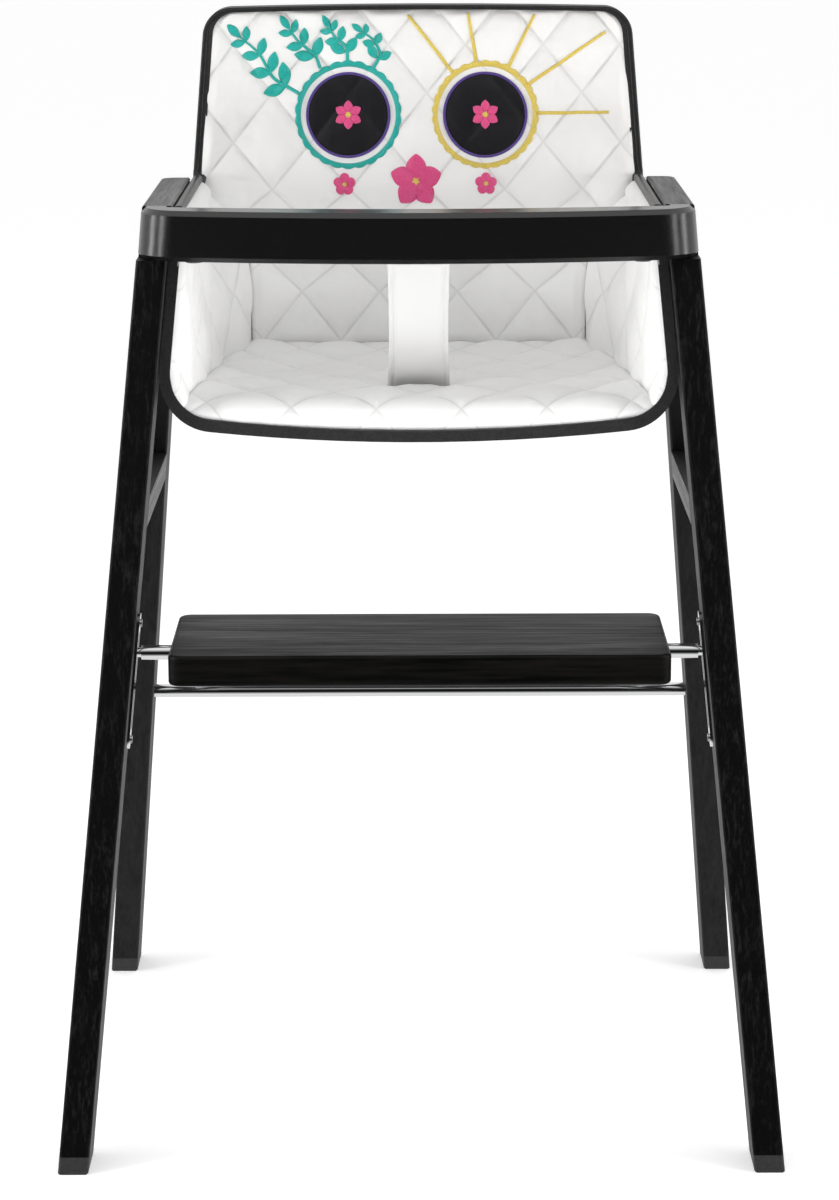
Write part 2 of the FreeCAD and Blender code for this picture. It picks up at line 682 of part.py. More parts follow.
def seat_shell():
    shell = tub(0, 0, 0, 0).common(rim_side_view(0)).cut(cavity())
    screws = shell_screw_blanks() + shell_screw_mouths()
    screws += [mirrored(s) for s in screws]
    boss = box((-ANCHOR[0] / 2, STRAP_BOTTOM[0] - 6, SHELL_BOTTOM),
               (ANCHOR[0] / 2, STRAP_BOTTOM[0] + ANCHOR[1] - 10, SHELL_BOTTOM + 4))
    shell = shell.fuse(boss).removeSplitter()
    return cut_all(shell, screws + anchor_screws() + [strap_slot()])


def pads():
    """The upholstery between the cavity and the seat's inner surface, cut apart along its seams."""
    filled = cavity().common(rim_side_view(PAD_RECESS))
    inner = tub(SHELL_WALL + PAD_SIDE, SHELL_BACK + PAD_BACK, SEAT_Z - SHELL_BOTTOM, -60.0)
    back_plane = back_y(0) - SHELL_BACK - PAD_BACK
    behind = side_profile([(back_plane, 0), (FAR, 0), (FAR, 1000),
                           (back_plane + BACK_LEAN * 1000, 1000)], -FAR, FAR)
    ahead = behind.copy()
    ahead.translate(vec(0, -PAD_SPLIT, 0))
    back = filled.common(behind).Solids[0]
    front = filled.cut(ahead)
    below = box((-FAR, -FAR, 0), (FAR, FAR, SEAT_Z))
    seat = front.common(below).Solids[0]
    seat = rolled_front(seat).cut(strap_slot())
    above = box((0, -FAR, SEAT_Z + PAD_SPLIT), (FAR, FAR, HEIGHT))
    side = front.cut(inner).common(above)
    side = max(side.Solids, key=lambda s: s.Volume)
    return seat, back, side


def rolled_front(seat):
    top = [e for e in seat.Edges if e.BoundBox.ZLength < 0.01 and e.BoundBox.YLength < 0.01
           and e.BoundBox.ZMax > SEAT_Z - 0.01 and e.CenterOfMass.y < 0]
    return seat.makeFillet(PAD_ROLL, top)


def save(name, *solids):
    shape = solids[0] if len(solids) == 1 else Part.makeCompound(list(solids))
    shape.exportStep(f"parts/{name}.step")
    print(name, len(shape.Solids), shape.isValid(), round(shape.Volume / 1000.0, 1))


def save_pair(name, right):
    save(f"{name}_right", right)
    save(f"{name}_left", mirrored(right))


def save_both(name, right):
    """Identical pieces of both sides, as separate solids in one node."""
    save(name, *(right + [mirrored(s) for s in right]))


def main():
    os.makedirs("parts", exist_ok=True)
    save_pair("front_leg", front_leg())
    save_pair("rear_leg", rear_leg())
    save_pair("front_foot_glide", glide(front_leg_y, FRONT_LEAN))
    save_pair("rear_foot_glide", glide(rear_leg_y, -REAR_LEAN))
    save_pair("side_rail", side_rail())
    save_pair("armrest", armrest())
    save_both("rail_dowels", dowels(rail_dowel_axes()))
    save_both("armrest_dowels", dowels(arm_dowel_axes()))
    save_pair("footrest_track", footrest_track())
    save_both("track_screws", track_screws())
    save("rear_crossbar", crossbar())
    save_both("crossbar_bolts", [crossbar_bolt()])

    save("footrest_rod", footrest_rod())
    save("footrest_plank", footrest_plank())
    save("plank_set_screws", *plank_screws())

    save("seat_shell", seat_shell())
    save_both("shell_screws", shell_screws())
    seat, back, side = pads()
    save("seat_pad", seat)
    save("back_pad", back)
    save_pair("side_pad", side)
    save("crotch_strap", strap_slab(0, STRAP_BOTTOM[1], STRAP_TOP[1], STRAP_WIDTH / 2))
    save("strap_anchor", strap_anchor())
    save("anchor_screws", *anchor_screws())

    save("bumper_bar", bumper_bar())
    save_pair("bar_tongue", bar_tongue())
    save_both("tongue_screws", [tongue_screw()])
    save_pair("release_button", release_button())
    save("button_spring_right", button_spring(BUTTON_X))
    save("button_spring_left", button_spring(-BUTTON_X))


main()
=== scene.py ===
import math

import bmesh
import bpy
import numpy as np
from mathutils import Matrix, Vector


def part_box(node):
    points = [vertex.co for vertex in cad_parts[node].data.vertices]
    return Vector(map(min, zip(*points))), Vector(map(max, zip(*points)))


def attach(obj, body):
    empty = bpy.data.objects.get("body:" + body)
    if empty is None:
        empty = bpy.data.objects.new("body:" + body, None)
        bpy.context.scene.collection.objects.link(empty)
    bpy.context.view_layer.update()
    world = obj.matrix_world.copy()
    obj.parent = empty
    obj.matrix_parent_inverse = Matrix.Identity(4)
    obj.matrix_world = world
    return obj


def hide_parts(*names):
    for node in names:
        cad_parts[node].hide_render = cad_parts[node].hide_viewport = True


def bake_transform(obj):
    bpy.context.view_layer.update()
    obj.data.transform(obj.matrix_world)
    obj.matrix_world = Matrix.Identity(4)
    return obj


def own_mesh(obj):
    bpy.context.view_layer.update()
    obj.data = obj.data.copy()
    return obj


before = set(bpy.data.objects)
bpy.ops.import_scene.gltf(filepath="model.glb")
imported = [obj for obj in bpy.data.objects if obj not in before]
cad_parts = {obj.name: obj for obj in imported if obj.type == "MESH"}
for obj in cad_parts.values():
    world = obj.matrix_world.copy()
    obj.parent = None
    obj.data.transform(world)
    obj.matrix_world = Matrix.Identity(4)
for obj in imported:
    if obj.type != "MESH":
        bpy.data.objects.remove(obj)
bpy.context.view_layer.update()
scene = bpy.context.scene

# ---------------------------------------------------------------- camera

CAMERA_AT = (0.0, -3.025, 1.0625)
PITCH = math.radians(12.2)
ROLL = math.radians(0.19)

camera_data = bpy.data.cameras.new("camera")
camera_data.lens = 108.6
camera_data.sensor_width = 36.0
camera = bpy.data.objects.new("camera", camera_data)
camera.matrix_world = (Matrix.Translation(CAMERA_AT)
                       @ Matrix.Rotation(math.pi / 2 - PITCH, 4, "X")
                       @ Matrix.Rotation(-ROLL, 4, "Z"))
scene.collection.objects.link(camera)
scene.camera = camera
scene.view_settings.view_transform = "Standard"

# ---------------------------------------------------------------- the tub's surfaces, in metres

SPLAY = 0.0909
RIM_TOP = 0.7515           # the sides' rim, beside the armrests
TOP_Z = 0.901
BACK_LEAN = 0.2069
RIM_LEAN = 0.2162
FOOT_HALF = 0.2668         # the shell's half width, carried down to the floor
UPPER_SPLAY = 0.073        # above the rim the back narrows by this much per metre
SEAT_LEVEL = 0.605
LIP_INSET = 0.0056         # from the shell's outside to the back lining's edge
LIP_BEFORE = 0.0008        # and how far that edge lies before the back's lip


def shell_x(z):
    """The shell's outer half width."""
    z = np.asarray(z, float)
    low = FOOT_HALF - SPLAY * z
    high = FOOT_HALF - SPLAY * RIM_TOP - UPPER_SPLAY * (z - RIM_TOP)
    return np.where(z <= RIM_TOP, low, high)


def lip_y(z):
    """The back lip's plane."""
    return 0.142 + BACK_LEAN * (z - SEAT_LEVEL)


def rim_y(z):
    """The front rim's plane."""
    return -0.261 + RIM_LEAN * z


# Level sections of the lining, from the back's corner forwards: height, then (x, y) of the back's corner,
# two points round the bend and the front end, all in millimetres.
SECTIONS = np.array([
    (595, 145.0, 143.0, 163.5, 83.0, 165.0, 77.0, 183.0, -132.4),
    (606, 145.2, 146.0, 165.0, 83.1, 166.4, 77.1, 189.5, -130.0),
    (626, 145.8, 150.0, 167.2, 85.8, 168.7, 78.8, 193.1, -125.7),
    (650, 146.6, 155.0, 169.8, 88.9, 171.6, 80.8, 190.9, -120.5),
    (700, 150.0, 168.0, 175.6, 127.9, 181.8, 113.6, 186.4, -109.7),
    (740, 152.8, 178.0, 179.8, 157.1, 182.7, 150.4, 182.7, -101.0),
    (751.5, 154.0, 180.5, 181.5, 165.0, 182.5, 155.0, 181.7, -98.5),
]) / 1000.0
FLARE_LOW = 0.698          # above this the back's seam runs outwards to the rim's corner
PULL_LOW = 0.728           # and above this it is drawn onto the lip
BACK_BASE = 0.1505         # the back lining's plane at the seat's level, at its stitches
BASE_SHIFT = 0.003         # how far the stitches lie behind the sections above


def smoothstep(t):
    """0 to 1 with level ends."""
    t = np.clip(t, 0, 1)
    return t * t * (3 - 2 * t)


def resample(points, spacing):
    """Points at an even spacing along a polyline, as (n, 2 or 3)."""
    points = np.asarray(points, float)
    steps = np.r_[0, np.cumsum(np.linalg.norm(np.diff(points, axis=0), axis=1))]
    at = np.linspace(0, steps[-1], max(int(steps[-1] / spacing), 2) + 1)
    return np.stack([np.interp(at, steps, points[:, k]) for k in range(points.shape[1])], 1)


def smooth_line(points, sigma, spacing=0.001):
    """The polyline with its corners rounded; its ends stay."""
    line = resample(points, spacing)
    reach = int(3 * sigma / spacing)
    kernel = np.exp(-0.5 * (np.arange(-reach, reach + 1) * spacing / sigma) ** 2)
    kernel /= kernel.sum()
    before = 2 * line[0] - line[1:reach + 1][::-1]
    after = 2 * line[-1] - line[-reach - 1:-1][::-1]
    padded = np.vstack([before, line, after])
    return np.stack([np.convolve(padded[:, k], kernel, "valid") for k in range(line.shape[1])], 1)


def even_points(line, count):
    """So many points at an even spacing along a line, and their distances from its start."""
    steps = np.r_[0, np.cumsum(np.linalg.norm(np.diff(line, axis=0), axis=1))]
    at = np.linspace(0, steps[-1], count)
    return np.stack([np.interp(at, steps, line[:, k]) for k in range(line.shape[1])], 1), at


def section(z):
    """Corner, bend and front end of the lining at a level."""
    zc = min(max(z, SECTIONS[0, 0]), SECTIONS[-1, 0])
    row = [np.interp(zc, SECTIONS[:, 0], SECTIONS[:, k]) for k in range(1, 9)]
    return np.array(row).reshape(4, 2)


def back_base_y(z):
    return BACK_BASE + BACK_LEAN * (z - SEAT_LEVEL)


def seam_point(z):
    """Where the back lining meets the side lining at a level, with the bend's points before it."""
    corner, bend_a, bend_b, front = section(z)
    if z <= FLARE_LOW:
        return corner, []
    t = float(smoothstep((z - FLARE_LOW) / (RIM_TOP - FLARE_LOW)))
    line = np.vstack([corner, bend_a, bend_b])
    at = resample(line, 0.0005)
    point = at[int(t * (len(at) - 1))]
    lip = np.array([float(shell_x(z)) - LIP_INSET, float(lip_y(z)) - LIP_BEFORE])
    pull = float(smoothstep((z - PULL_LOW) / (RIM_TOP - PULL_LOW)))
    return point * (1 - pull) + lip * pull, [corner]


# ---------------------------------------------------------------- quilting

DIAMOND_W = 0.0685
DIAMOND_H = 0.0850
CELLS = 4
CELL_STEPS = 16
PUFF = 0.0072
CLOTH_SHARE = 0.45         # the rest is the plain pillow shape
CLOTH_FRAMES = 24
QUILT_SEED = 7
START_PUFF, START_NOISE = 0.0015, 0.00012


def flat_puff(a, b):
    """The plain shape of a stuffed diamond, 0 on the stitches and 1 in the middle."""
    fa, fb = np.abs(a - np.round(a)) * 2, np.abs(b - np.round(b)) * 2
    return (np.sqrt(1 - (1 - fa) ** 2) * np.sqrt(1 - (1 - fb) ** 2)) ** 0.8


def quilt_field():
    """Heights of CELLS by CELLS stuffed diamonds: a cloth sheet, pinned on its stitches and blown up."""
    n = CELLS * CELL_STEPS + 1
    line = np.linspace(0, CELLS, n)
    a, b = np.meshgrid(line, line, indexing="ij")
    rng = np.random.default_rng(QUILT_SEED)
    x, y = (a + b) / 2 * DIAMOND_W, (a - b) / 2 * DIAMOND_H
    z = START_PUFF * flat_puff(a, b) + rng.normal(0, START_NOISE, a.shape)
    index = np.arange(n * n).reshape(n, n)
    faces = np.stack([index[:-1, :-1], index[1:, :-1], index[1:, 1:], index[:-1, 1:]], -1).reshape(-1, 4)
    mesh = bpy.data.meshes.new("quilt_sheet")
    mesh.from_pydata(np.stack([x, y, z], -1).reshape(-1, 3).tolist(), [], faces[:, ::-1].tolist())
    sheet = bpy.data.objects.new("quilt_sheet", mesh)
    scene.collection.objects.link(sheet)
    pins = sheet.vertex_groups.new(name="pins")
    on_line = (np.arange(n) % CELL_STEPS) == 0
    pinned = on_line[:, None] | on_line[None, :]
    pins.add(index[pinned].ravel().tolist(), 1.0, "REPLACE")
    cloth = sheet.modifiers.new("cloth", "CLOTH")
    s = cloth.settings
    s.quality = 8
    s.mass = 0.25
    s.tension_stiffness = s.compression_stiffness = 25.0
    s.shear_stiffness = 12.0
    s.bending_stiffness = 0.4
    s.tension_damping = s.compression_damping = 15.0
    s.shear_damping = 15.0
    s.bending_damping = 1.0
    s.air_damping = 4.0
    s.vertex_group_mass = "pins"
    s.pin_stiffness = 1.0
    s.use_pressure = True
    s.uniform_pressure_force = 3.0
    s.shrink_min = -0.022
    s.effector_weights.gravity = 0.0
    cloth.collision_settings.use_collision = False
    cloth.point_cache.frame_start, cloth.point_cache.frame_end = 1, CLOTH_FRAMES
    for f in range(1, CLOTH_FRAMES + 1):
        scene.frame_set(f)
    shaped = sheet.evaluated_get(bpy.context.evaluated_depsgraph_get())
    co = np.empty(n * n * 3)
    shaped.data.vertices.foreach_get("co", co)
    high = co.reshape(n, n, 3)[:, :, 2]
    scene.frame_set(1)
    bpy.data.objects.remove(sheet)
    if not np.isfinite(high).all() or high.max() < 0.001:
        return flat_puff(a, b) * PUFF
    high = np.clip(high, 0, np.percentile(high, 99))
    return (CLOTH_SHARE * high / high.max() + (1 - CLOTH_SHARE) * flat_puff(a, b)) * PUFF


FIELD = quilt_field()


def puff(a, b):
    """Height over the stitches at quilting coordinates a, b, whose whole numbers are the stitch lines."""
    fa, fb = np.mod(a, CELLS) * CELL_STEPS, np.mod(b, CELLS) * CELL_STEPS
    ia, ib = np.floor(fa).astype(int), np.floor(fb).astype(int)
    ta, tb = fa - ia, fb - ib
    last = CELLS * CELL_STEPS
    ja, jb = np.minimum(ia + 1, last), np.minimum(ib + 1, last)
    return (FIELD[ia, ib] * (1 - ta) * (1 - tb) + FIELD[ja, ib] * ta * (1 - tb)
            + FIELD[ia, jb] * (1 - ta) * tb + FIELD[ja, jb] * ta * tb)


# Heights of the back's rows of stitch crossings, and their numbers in half diamonds
ROW_Z = [0.569, 0.611, 0.653, 0.741, 0.782, 0.8245, 0.866, 0.908]
ROW_N = [-1, 0, 1, 4, 5, 6, 7, 8]


def grid_normals(p):
    """Unit normals of a grid of points."""
    du = np.gradient(p, axis=0)
    dv = np.gradient(p, axis=1)
    n = np.cross(du, dv)
    return n / np.maximum(np.linalg.norm(n, axis=-1, keepdims=True), 1e-12)


def edge_distance(p):
    """Distance of each grid point to the grid's four borders, along its columns and rows."""
    def along(axis):
        d = np.linalg.norm(np.diff(p, axis=axis), axis=-1)
        zero = np.zeros_like(np.take(d, [0], axis))
        s = np.concatenate([zero, np.cumsum(d, axis=axis)], axis)
        return s, np.take(s, [-1], axis) - s
    u0, u1 = along(0)
    v0, v1 = along(1)
    return u0, u1, v0, v1


def rolled(e, radius):
    """How far a rolled edge falls at a distance e from the border."""
    t = np.clip(1 - e / radius, 0, 1)
    return radius * (1 - np.sqrt(np.maximum(1 - t * t, 0)))


def new_piece(name, verts, faces, material, quilt=None, merge=False):
    """A smooth closed piece with outward faces, and its stitching coordinates as an attribute."""
    mesh = bpy.data.meshes.new(name)
    mesh.from_pydata(verts, [], faces)
    if quilt is not None:
        mesh.attributes.new("quilt", "FLOAT_VECTOR", "POINT").data.foreach_set(
            "vector", np.asarray(quilt, np.float32).ravel())
    work = bmesh.new()
    work.from_mesh(mesh)
    if merge:
        bmesh.ops.remove_doubles(work, verts=work.verts, dist=1e-7)
    bmesh.ops.recalc_face_normals(work, faces=work.faces)
    work.to_mesh(mesh)
    work.free()
    mesh.shade_smooth()
    mesh.materials.append(material)
    piece = bpy.data.objects.new(name, mesh)
    scene.collection.objects.link(piece)
    return piece


def grid_mesh(name, front, back, quilt, material):
    """A closed pad between a front and a back grid, with its quilting coordinates as an attribute."""
    nu, nv = front.shape[:2]
    index = np.arange(nu * nv).reshape(nu, nv)
    quads = np.stack([index[:-1, :-1], index[1:, :-1], index[1:, 1:], index[:-1, 1:]], -1).reshape(-1, 4)
    other = quads[:, ::-1] + nu * nv
    ring = np.r_[index[:-1, 0], index[-1, :-1], index[:0:-1, -1], index[0, :0:-1]]
    nxt = np.roll(ring, -1)
    side = np.stack([nxt, ring, ring + nu * nv, nxt + nu * nv], -1)
    verts = np.vstack([front.reshape(-1, 3), back.reshape(-1, 3)])
    faces = np.vstack([quads, other, side])
    marks = np.vstack([quilt.reshape(-1, 3), quilt.reshape(-1, 3)])
    return new_piece(name, verts.tolist(), faces.tolist(), material, marks)


# ---------------------------------------------------------------- materials

LINE_GAP = 0.0531          # metres between the quilting's parallel stitch lines
CELL_SIDE = 0.0544         # and along one side of a diamond
STITCH_PITCH = 0.0036
THREAD_HALF = 0.00055
GROOVE_HALF = 0.0016
THREAD_PITCH = 0.0009      # between the embroidery's parallel threads


def new_material(name, colour, rough):
    """A material, its node tree and its shader."""
    m = bpy.data.materials.new(name)
    m.use_nodes = True
    shader = m.node_tree.nodes["Principled BSDF"]
    shader.inputs["Base Color"].default_value = (*colour, 1)
    shader.inputs["Roughness"].default_value = rough
    return m, m.node_tree, shader


def mapped(tree, scale, rotation=(0, 0, 0)):
    """Object coordinates, turned and scaled."""
    where = tree.nodes.new("ShaderNodeTexCoord")
    m = tree.nodes.new("ShaderNodeMapping")
    m.inputs["Scale"].default_value = scale
    m.inputs["Rotation"].default_value = rotation
    tree.links.new(where.outputs["Object"], m.inputs["Vector"])
    return m.outputs["Vector"]


def noise(tree, vector, scale, detail=4.0, rough=0.6, distortion=0.0):
    n = tree.nodes.new("ShaderNodeTexNoise")
    n.inputs["Scale"].default_value = scale
    n.inputs["Detail"].default_value = detail
    n.inputs["Roughness"].default_value = rough
    n.inputs["Distortion"].default_value = distortion
    tree.links.new(vector, n.inputs["Vector"])
    return n.outputs["Fac"]


def ramp(tree, value, stops):
    """A colour ramp over a value; a stop's colour may be one number for a grey."""
    r = tree.nodes.new("ShaderNodeValToRGB")
    elements = r.color_ramp.elements
    while len(elements) < len(stops):
        elements.new(0.5)
    for element, (at, colour) in zip(elements, stops):
        element.position = at
        c = colour if isinstance(colour, tuple) else (colour,) * 3
        element.color = (*c, 1)
    tree.links.new(value, r.inputs["Fac"])
    return r.outputs["Color"]


def math_node(tree, operation, a, b=None, clamp=False):
    n = tree.nodes.new("ShaderNodeMath")
    n.operation = operation
    n.use_clamp = clamp
    for i, v in enumerate((a, b)):
        if v is None:
            continue
        if isinstance(v, (int, float)):
            n.inputs[i].default_value = v
        else:
            tree.links.new(v, n.inputs[i])
    return n.outputs[0]


def weighted(tree, a, share_a, b, share_b):
    """The sum of two values with a share of each."""
    return math_node(tree, "ADD", math_node(tree, "MULTIPLY", a, share_a),
                     math_node(tree, "MULTIPLY", b, share_b))


def multiplied(tree, a, b):
    """One colour tinted by another."""
    mix = tree.nodes.new("ShaderNodeMix")
    mix.data_type = "RGBA"
    mix.blend_type = "MULTIPLY"
    mix.inputs["Factor"].default_value = 1.0
    for socket, colour in (("A", a), ("B", b)):
        tree.links.new(colour, mix.inputs[socket])
    return mix.outputs["Result"]


def pebbles(tree, vector, scale):
    """Distances to the cells of a pebble grain."""
    cell = tree.nodes.new("ShaderNodeTexVoronoi")
    cell.inputs["Scale"].default_value = scale
    tree.links.new(vector, cell.inputs["Vector"])
    return cell.outputs["Distance"]


def quilt_coordinates(tree):
    """The stitching coordinates that a piece carries."""
    at = tree.nodes.new("ShaderNodeAttribute")
    at.attribute_name = "quilt"
    split = tree.nodes.new("ShaderNodeSeparateXYZ")
    tree.links.new(at.outputs["Vector"], split.inputs[0])
    return split.outputs


def bump(tree, shader, height, strength, distance, before=None):
    """Bump from a height, on top of an earlier normal, led to the shader."""
    b = tree.nodes.new("ShaderNodeBump")
    b.inputs["Strength"].default_value = strength
    b.inputs["Distance"].default_value = distance
    tree.links.new(height, b.inputs["Height"])
    if before is not None:
        tree.links.new(before, b.inputs["Normal"])
    tree.links.new(b.outputs["Normal"], shader.inputs["Normal"])
    return b.outputs["Normal"]


def wood(name, scale, rotation, dark, light, rough=0.34, gloss=0.5, broad=0.16,
         contrast=(0.40, 0.62), swirl=1.2):
    """Black stained wood: fine pores drawn out along the grain, and broader streaks."""
    m, tree, shader = new_material(name, dark, rough)
    shader.inputs["Specular IOR Level"].default_value = gloss
    v = mapped(tree, scale, rotation)
    pores = noise(tree, v, 1.0, 6.0, 0.70)
    streaks = noise(tree, v, broad, 3.0, 0.5, swirl)
    both = weighted(tree, pores, 0.55, streaks, 0.45)
    tree.links.new(ramp(tree, both, [(contrast[0], dark), (contrast[1], light)]), shader.inputs["Base Color"])
    tree.links.new(ramp(tree, both, [(0.35, rough + 0.18), (0.65, rough - 0.05)]), shader.inputs["Roughness"])
    bump(tree, shader, both, 0.55, 0.0005)
    return m


def grained(name, dark, light, rough, size, depth, spread=0.1, gloss=0.5):
    """Moulded plastic or leather with a fine pebble grain."""
    m, tree, shader = new_material(name, dark, rough)
    shader.inputs["Specular IOR Level"].default_value = gloss
    v = mapped(tree, (1, 1, 1))
    cells = pebbles(tree, v, 1.0 / size)
    soft = noise(tree, v, 1.0 / (size * 3), 3.0)
    mix = weighted(tree, cells, 0.7, soft, 0.5)
    tree.links.new(ramp(tree, mix, [(0.25, dark), (0.85, light)]), shader.inputs["Base Color"])
    tree.links.new(ramp(tree, mix, [(0.2, rough - spread), (0.9, rough + spread)]),
                   shader.inputs["Roughness"])
    bump(tree, shader, mix, 0.5, depth)
    return m


def metal(name, colour, rough, brush=0.0):
    m, tree, shader = new_material(name, colour, rough)
    shader.inputs["Metallic"].default_value = 1.0
    v = mapped(tree, (300, 300, 300) if not brush else (60, 1500, 60))
    n = noise(tree, v, 1.0, 3.0)
    tree.links.new(ramp(tree, n, [(0.3, rough * 0.7), (0.8, rough * 1.5)]), shader.inputs["Roughness"])
    bump(tree, shader, n, 0.08 + brush, 0.00005)
    return m


def leatherette(name, colour, quilted):
    """White coated fabric: fine grain, and along the quilting a stitched groove, tinted darker in it as
    painted shade.
    """
    m, tree, shader = new_material(name, colour, 0.46)
    shader.inputs["Specular IOR Level"].default_value = 0.35
    shader.inputs["Sheen Weight"].default_value = 0.08
    v = mapped(tree, (1, 1, 1))
    cells = pebbles(tree, v, 850.0)
    fine = noise(tree, v, 420.0, 4.0)
    grain = weighted(tree, cells, 0.6, fine, 0.5)
    cloud = noise(tree, v, 9.0, 3.0)
    shade = ramp(tree, cloud, [(0.3, tuple(c * 0.955 for c in colour)), (0.7, colour)])
    first = bump(tree, shader, grain, 0.22, 0.0003)
    if quilted:
        across = quilt_coordinates(tree)
        grooves, threads = [], []
        for axis, other in ((0, 1), (1, 0)):
            whole = math_node(tree, "ROUND", across[axis])
            d = math_node(tree, "ABSOLUTE", math_node(tree, "SUBTRACT", across[axis], whole))
            d = math_node(tree, "MULTIPLY", d, LINE_GAP)
            grooves.append(d)
            dash = math_node(tree, "MULTIPLY", across[other], 2 * math.pi * CELL_SIDE / STITCH_PITCH)
            dash = math_node(tree, "GREATER_THAN", math_node(tree, "SINE", dash), -0.35)
            near = math_node(tree, "LESS_THAN", d, THREAD_HALF)
            threads.append(math_node(tree, "MULTIPLY", near, dash))
        nearest = math_node(tree, "MINIMUM", *grooves)
        depth = tree.nodes.new("ShaderNodeMapRange")
        depth.interpolation_type = "SMOOTHSTEP"
        depth.inputs["From Max"].default_value = GROOVE_HALF
        tree.links.new(nearest, depth.inputs["Value"])
        thread = math_node(tree, "MAXIMUM", *threads)
        height = math_node(tree, "ADD", depth.outputs["Result"], math_node(tree, "MULTIPLY", thread, 0.45))
        bump(tree, shader, height, 0.5, 0.0005, before=first)
        # Painted shade: the base colour darkens into the stitched grooves, where shade falls in the creases.
        painted_crease_shade = ramp(tree, depth.outputs["Result"], [(0.0, (0.89, 0.887, 0.885)), (0.8, 1.0)])
        # The linings darken with height: painted shade on the upper lining, which the lamps light more than
        # the sheltered part below, so that their brightness matches from top to bottom. It is a choice of
        # look, not a known property of the material.
        place = tree.nodes.new("ShaderNodeSeparateXYZ")
        tree.links.new(v, place.inputs[0])
        painted_height_shade = ramp(tree, place.outputs["Z"], [(0.68, 1.0), (0.80, (0.875, 0.868, 0.858))])
        shade = multiplied(tree, multiplied(tree, shade, painted_crease_shade), painted_height_shade)
    tree.links.new(shade, shader.inputs["Base Color"])
    return m


def embroidery_material(name, colour, sheen=0.25):
    """Satin stitch: fine parallel threads with a soft sheen."""
    m, tree, shader = new_material(name, colour, 0.42)
    shader.inputs["Sheen Weight"].default_value = sheen
    wave = math_node(tree, "MULTIPLY", quilt_coordinates(tree)[0], 2 * math.pi / THREAD_PITCH)
    wave = math_node(tree, "SINE", wave)
    v = mapped(tree, (1, 1, 1))
    n = noise(tree, v, 900.0, 2.0)
    both = math_node(tree, "ADD", math_node(tree, "MULTIPLY", wave, 0.35), n)
    tree.links.new(ramp(tree, both, [(0.2, tuple(c * 0.55 for c in colour)), (0.9, colour)]),
                   shader.inputs["Base Color"])
    bump(tree, shader, both, 0.7, 0.0002)
    return m


LEAN_FRONT = math.atan(RIM_LEAN)
LEAN_REAR = -math.atan(0.289)
# The black wood comes in four copies, one for each way its grain runs. Their tones differ too, and that
# difference is painted shade and painted light for how the lamps fall on each part.
wood_front = wood("wood_front", (900, 700, 90), (-LEAN_FRONT, 0, 0),
                  (0.0004, 0.0004, 0.0005), (0.017, 0.0167, 0.0163), 0.40, 0.25, 0.2, (0.50, 0.70))
wood_rear = wood("wood_rear", (600, 500, 40), (-LEAN_REAR, 0, 0),
                 (0.002, 0.002, 0.002), (0.008, 0.0078, 0.0076), 0.42, 0.33)
wood_side = wood("wood_side", (420, 14, 300), (0, 0, 0), (0.006, 0.006, 0.006), (0.02, 0.019, 0.018))
wood_plank = wood("wood_plank", (16, 300, 300), (0, 0, 0), (0.0004, 0.0004, 0.0003),
                  (0.0052, 0.0048, 0.0042), 0.38, 0.14, 0.14, (0.42, 0.58), 2.6)
chrome = metal("chrome", (0.86, 0.86, 0.87), 0.07)
steel = metal("steel", (0.62, 0.62, 0.64), 0.26, 0.1)
glide = grained("glide_plastic", (0.012, 0.012, 0.012), (0.03, 0.03, 0.03), 0.6, 0.0012, 0.0003)
dowel = wood("dowel_wood", (300, 300, 20), (0, 0, 0), (0.30, 0.20, 0.11), (0.62, 0.46, 0.30), 0.6)
shell_plastic = grained("shell_plastic", (0.009, 0.009, 0.0094), (0.030, 0.030, 0.031), 0.46, 0.0011, 0.0003)
bar_plastic = grained("bar_plastic", (0.0012, 0.0012, 0.0012), (0.0055, 0.0055, 0.0054), 0.24, 0.0007,
                      0.00008, 0.03, 0.9)
button_plastic = grained("button_plastic", (0.05, 0.05, 0.05), (0.09, 0.09, 0.09), 0.3, 0.0014, 0.0001)
trim_dark = grained("trim_dark", (0.005, 0.005, 0.005), (0.020, 0.020, 0.020), 0.34, 0.0010, 0.0003)
white = leatherette("white_leatherette", (0.93, 0.927, 0.922), True)
# The strap's white is darker than the linings' white: painted shade, since the strap faces the lamps more
# squarely than the linings.
strap_white_painted_shade = leatherette("strap_white_painted_shade", (0.73, 0.727, 0.723), False)

BY_NODE = {"front_leg": wood_front, "rear_leg": wood_rear, "side_rail": wood_side, "armrest": wood_side,
           "footrest_plank": wood_plank}


def material_for(name):
    """The material of a CAD node, from the words in its name."""
    for start, m in BY_NODE.items():
        if name.startswith(start) and "dowel" not in name and "glide" not in name:
            return m
    words = (("dowel", dowel), ("glide", glide), ("pad", white), ("strap_anchor", shell_plastic),
             ("strap", strap_white_painted_shade), ("bar_tongue", chrome), ("track_screws", steel), ("screws", steel),
             ("bolts", steel), ("spring", steel), ("button", button_plastic), ("shell", shell_plastic),
             ("bumper", bar_plastic), ("track", chrome), ("rod", chrome), ("crossbar", chrome))
    for word, m in words:
        if word in name:
            return m
    return steel


for name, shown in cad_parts.items():
    if not shown.material_slots:
        shown.data.materials.append(None)
    for s in shown.material_slots:
        s.material = material_for(name)

# ---------------------------------------------------------------- the back's lining

SPACING = 0.0021
TOP_CORNER_R = 0.019
back_top = TOP_Z - 0.0030


def back_rows():
    """Heights of the back lining's rows, and how far each draws in at the rounded top corners."""
    low = np.arange(0.6065, back_top - TOP_CORNER_R, SPACING)
    turn = np.linspace(0, math.pi / 2, 14)[:-1]
    high = back_top - TOP_CORNER_R + TOP_CORNER_R * np.sin(turn)
    inset = TOP_CORNER_R * (1 - np.cos(turn))
    return np.r_[low, high, back_top], np.r_[np.zeros(len(low)), inset, TOP_CORNER_R * 0.92]


